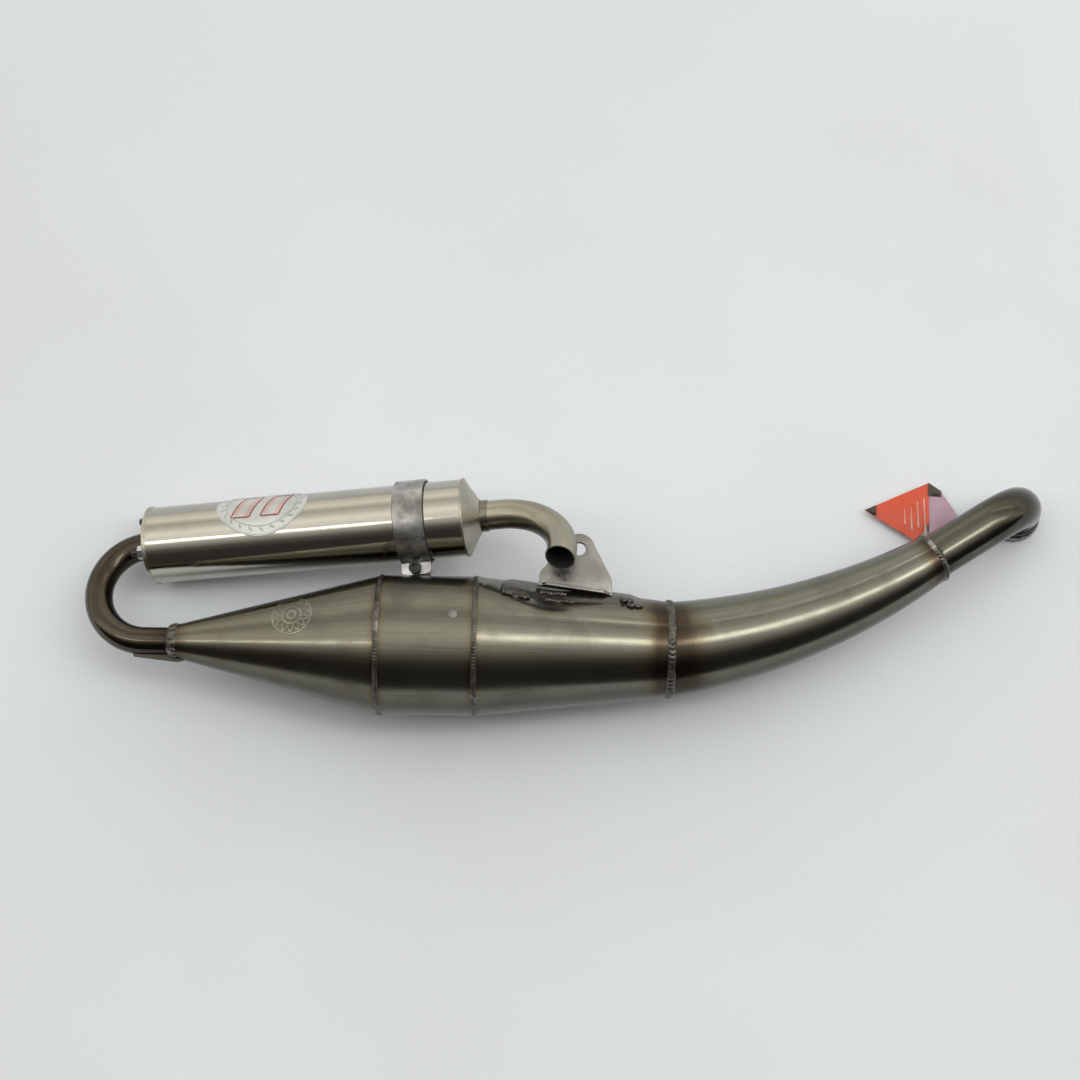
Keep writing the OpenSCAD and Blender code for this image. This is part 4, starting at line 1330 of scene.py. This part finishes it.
def hang_tag():
    card_panel("tag_front", [(396, 133), (450, 157), (449, 122), (438, 106)], [6.5, 9, 8, 6.5],
               TAG_ORANGE, "hang_tag")
    card_panel("tag_fold", [(449.5, 155), (461, 150), (477, 124), (449.5, 114)], [8, 6.5, 6.5, 6],
               TAG_LILAC)
    card_panel("tag_corner_low", [(396, 133), (405.5, 137.2), (405.5, 128.6), (403, 128.5)],
               [7.2, 7.6, 7.6, 7.2], TAG_DARK)
    card_panel("tag_corner_high", [(450, 157), (461, 150), (460, 145), (449, 146)],
               [9.6, 8, 8, 9.4], TAG_DARK)
    for k, (start, end) in enumerate(((112, 143), (118, 142), (116, 141), (121, 139))):
        x = 446 - 5.5 * k
        bar = [(x, start), (x, end), (x - 1.3, end), (x - 1.3, start)]
        card_panel(f"tag_bar_{k}", bar, [9.3 - 0.35 * k] * 4, TAG_PRINT, curl=0.9)
    hole = Vector((*in_flange_frame(467, 120), 0))
    reach = (Vector((0, 0, 0)) - hole).length
    towards = (Vector((0, 0, 0)) - hole).normalized()
    top = 12.1 * MM
    strap = [hole + Vector((0, 0, z * MM)) for z in (5, 7.5, 10, 11)]
    strap += [hole + towards * 2.5 * MM + Vector((0, 0, top))]
    span = towards * (reach - HEADER_R - 1 * MM)
    strap += [hole + span * t + Vector((0, 0, top)) for t in (0.3, 0.6, 0.95)]
    strip_along("tie_strap", strap, 1.3 * MM, 0.6 * MM, NYLON, "tag_tie")
    mesh = ring_mesh("tie_loop", Matrix.Rotation(-math.pi / 2, 4, "Y"), 10.8 * MM, 2.6 * MM,
                     HEADER_R + 1.2 * MM, HEADER_R, 0.4 * MM)
    new_object("tie_loop", mesh, NYLON, CHAMBER)


def strip_along(name, points, half_width, half_thick, material, node):
    """A flat strap through a few points, smoothed."""
    fine = []
    for i in range(len(points) - 1):
        p0, p1 = points[max(i - 1, 0)], points[i]
        p2, p3 = points[i + 1], points[min(i + 2, len(points) - 1)]
        for t in stations(0, 1, 8)[:-1]:
            fine.append(0.5 * (2 * p1 + (p2 - p0) * t + (2 * p0 - 5 * p1 + 4 * p2 - p3) * t * t
                               + (3 * p1 - p0 - 3 * p2 + p3) * t ** 3))
    fine.append(points[-1])
    run = points[-1] - points[0]
    side = Vector((0, 0, 1)).cross(run).normalized()
    rings = []
    for k, place in enumerate(fine):
        tangent = (fine[min(k + 1, len(fine) - 1)] - fine[max(k - 1, 0)]).normalized()
        flat = tangent.cross(side).normalized()
        section = rounded([(-1, -1), (1, -1), (1, 1), (-1, 1)], 0.3, 2)
        rings.append([place + side * x * half_width + flat * y * half_thick for x, y in section])
    mesh = capped(grid_mesh(name, rings))
    smooth(mesh, 40)
    return new_object(name, mesh, material, CHAMBER, [node])


# ------------------------------------------------------------------ inner pieces
def inner_pieces():
    """Pieces that only show through openings keep their CAD mesh and take a material."""
    for node, material in (("inner_stinger", STINGER_STEEL), ("core_tube", CAP_STEEL), ("packing", LINER)):
        frame["nodes"][node].data.materials.clear()
        frame["nodes"][node].data.materials.append(material)


# ------------------------------------------------------------------ surroundings
def floor():
    bpy.ops.mesh.primitive_plane_add(size=40, location=(BELLY_LO.x, 0, -0.0002))
    plane = bpy.context.object
    plane.name = "floor"
    plane.data.materials.append(FLOOR)


def softbox(name, middle, elevation, across, long, distance, radiance, colour, turn=0.0):
    """An area lamp that looks at the middle. Elevation runs from the front horizon up and over."""
    lamp = bpy.data.lights.new(name, "AREA")
    lamp.shape = "RECTANGLE"
    lamp.size, lamp.size_y = long, across
    lamp.energy = radiance * math.pi * long * across
    lamp.color = colour
    obj = bpy.data.objects.new(name, lamp)
    bpy.context.scene.collection.objects.link(obj)
    rise = math.radians(elevation)
    place = middle + distance * Vector((0, -math.cos(rise), math.sin(rise)))
    back = (place - middle).normalized()
    wide = Matrix.Rotation(math.radians(turn), 3, back) @ Vector((1, 0, 0))
    facing = Matrix((wide, back.cross(wide), back)).transposed().to_4x4()
    obj.matrix_world = Matrix.Translation(place) @ facing
    return obj


# Brightness of the room by height, from the front horizon (0), overhead (0.5), to the back horizon (1)
ROOM = [
    (0.00, (0.030, 0.027, 0.025)), (0.22, (0.038, 0.034, 0.031)), (0.30, (0.10, 0.095, 0.085)),
    (0.38, (0.40, 0.39, 0.36)), (0.45, (0.76, 0.74, 0.69)), (0.58, (1.0, 0.975, 0.91)),
    (0.66, (0.68, 0.66, 0.61)), (0.75, (0.48, 0.46, 0.42)), (0.84, (0.88, 0.85, 0.78)),
    (0.94, (0.68, 0.655, 0.60)), (1.00, (0.52, 0.50, 0.46)),
]


def room():
    """A room that is dark in front, where the viewer stands, and pale overhead and behind."""
    world = bpy.data.worlds.new("room")
    bpy.context.scene.world = world
    world.use_nodes = True
    tree = world.node_tree
    direction = tree.nodes.new("ShaderNodeTexCoord")
    parts = tree.nodes.new("ShaderNodeSeparateXYZ")
    front = tree.nodes.new("ShaderNodeMath")
    front.operation = "MULTIPLY"
    front.inputs[1].default_value = -1
    turn = tree.nodes.new("ShaderNodeMath")
    turn.operation = "ARCTAN2"
    share = tree.nodes.new("ShaderNodeMath")
    share.operation = "DIVIDE"
    share.inputs[1].default_value = math.pi
    ramp = tree.nodes.new("ShaderNodeValToRGB")
    elements = ramp.color_ramp.elements
    while len(elements) < len(ROOM):
        elements.new(0.5)
    for element, (place, colour) in zip(elements, ROOM):
        element.position = place
        element.color = (*colour, 1)
    link = tree.links.new
    link(direction.outputs["Generated"], parts.inputs[0])
    link(parts.outputs["Y"], front.inputs[0])
    link(parts.outputs["Z"], turn.inputs[0])
    link(front.outputs[0], turn.inputs[1])
    link(turn.outputs[0], share.inputs[0])
    link(share.outputs[0], ramp.inputs["Fac"])
    link(ramp.outputs["Color"], tree.nodes["Background"].inputs["Color"])
    tree.nodes["Background"].inputs["Strength"].default_value = 1.4


def lamps(middle):
    """A bright strip overhead and one behind, both towards the header, and a small one at the far end."""
    right, left = Vector((1.55, 0, 0)), Vector((-1.75, 0, 0))
    softbox("strip_overhead", middle + right, 92, 0.42, 2.6, 2.3, 4.2, (1.0, 0.985, 0.94))
    softbox("strip_behind", middle + right, 137, 0.16, 2.2, 2.3, 3.0, (1.0, 0.985, 0.94))
    softbox("strip_far", middle + left, 80, 0.12, 1.8, 2.3, 6.0, (1.0, 0.985, 0.94))
    soft = softbox("soft_fill", middle, 100, 3.2, 3.6, 3.0, 0.62, (0.96, 0.985, 1.0))
    soft.visible_glossy = False


def camera(middle):
    """Looks down on the whole system from the silencer's far side, slightly rolled."""
    data = bpy.data.cameras.new("camera")
    data.lens = 56.7
    obj = bpy.data.objects.new("camera", data)
    bpy.context.scene.collection.objects.link(obj)
    rise, roll = math.radians(74), math.radians(0.93)
    back = Vector((0, -math.cos(rise), math.sin(rise)))
    obj.location = middle + 1.343 * back
    look = (-back).to_track_quat("-Z", "Y").to_matrix()
    obj.matrix_world = Matrix.Translation(obj.location) @ (look @ Matrix.Rotation(roll, 3, "Z")).to_4x4()
    bpy.context.scene.camera = obj


chamber()
curved_diffuser()
header_pipe()
header_flange()
welds()
stinger()
stinger_stay()
bracket()
bracket_welds()
clamp()
silencer_body()
silencer_rear()
badge()
hang_tag()
inner_pieces()
floor()

MIDDLE = (Vector(cad_box[0]) + Vector(cad_box[1])) / 2
room()
lamps(MIDDLE)
camera(on_chamber(124 * MM, 81.5 * MM, 23 * MM))
bpy.context.scene.view_settings.view_transform = "Standard"
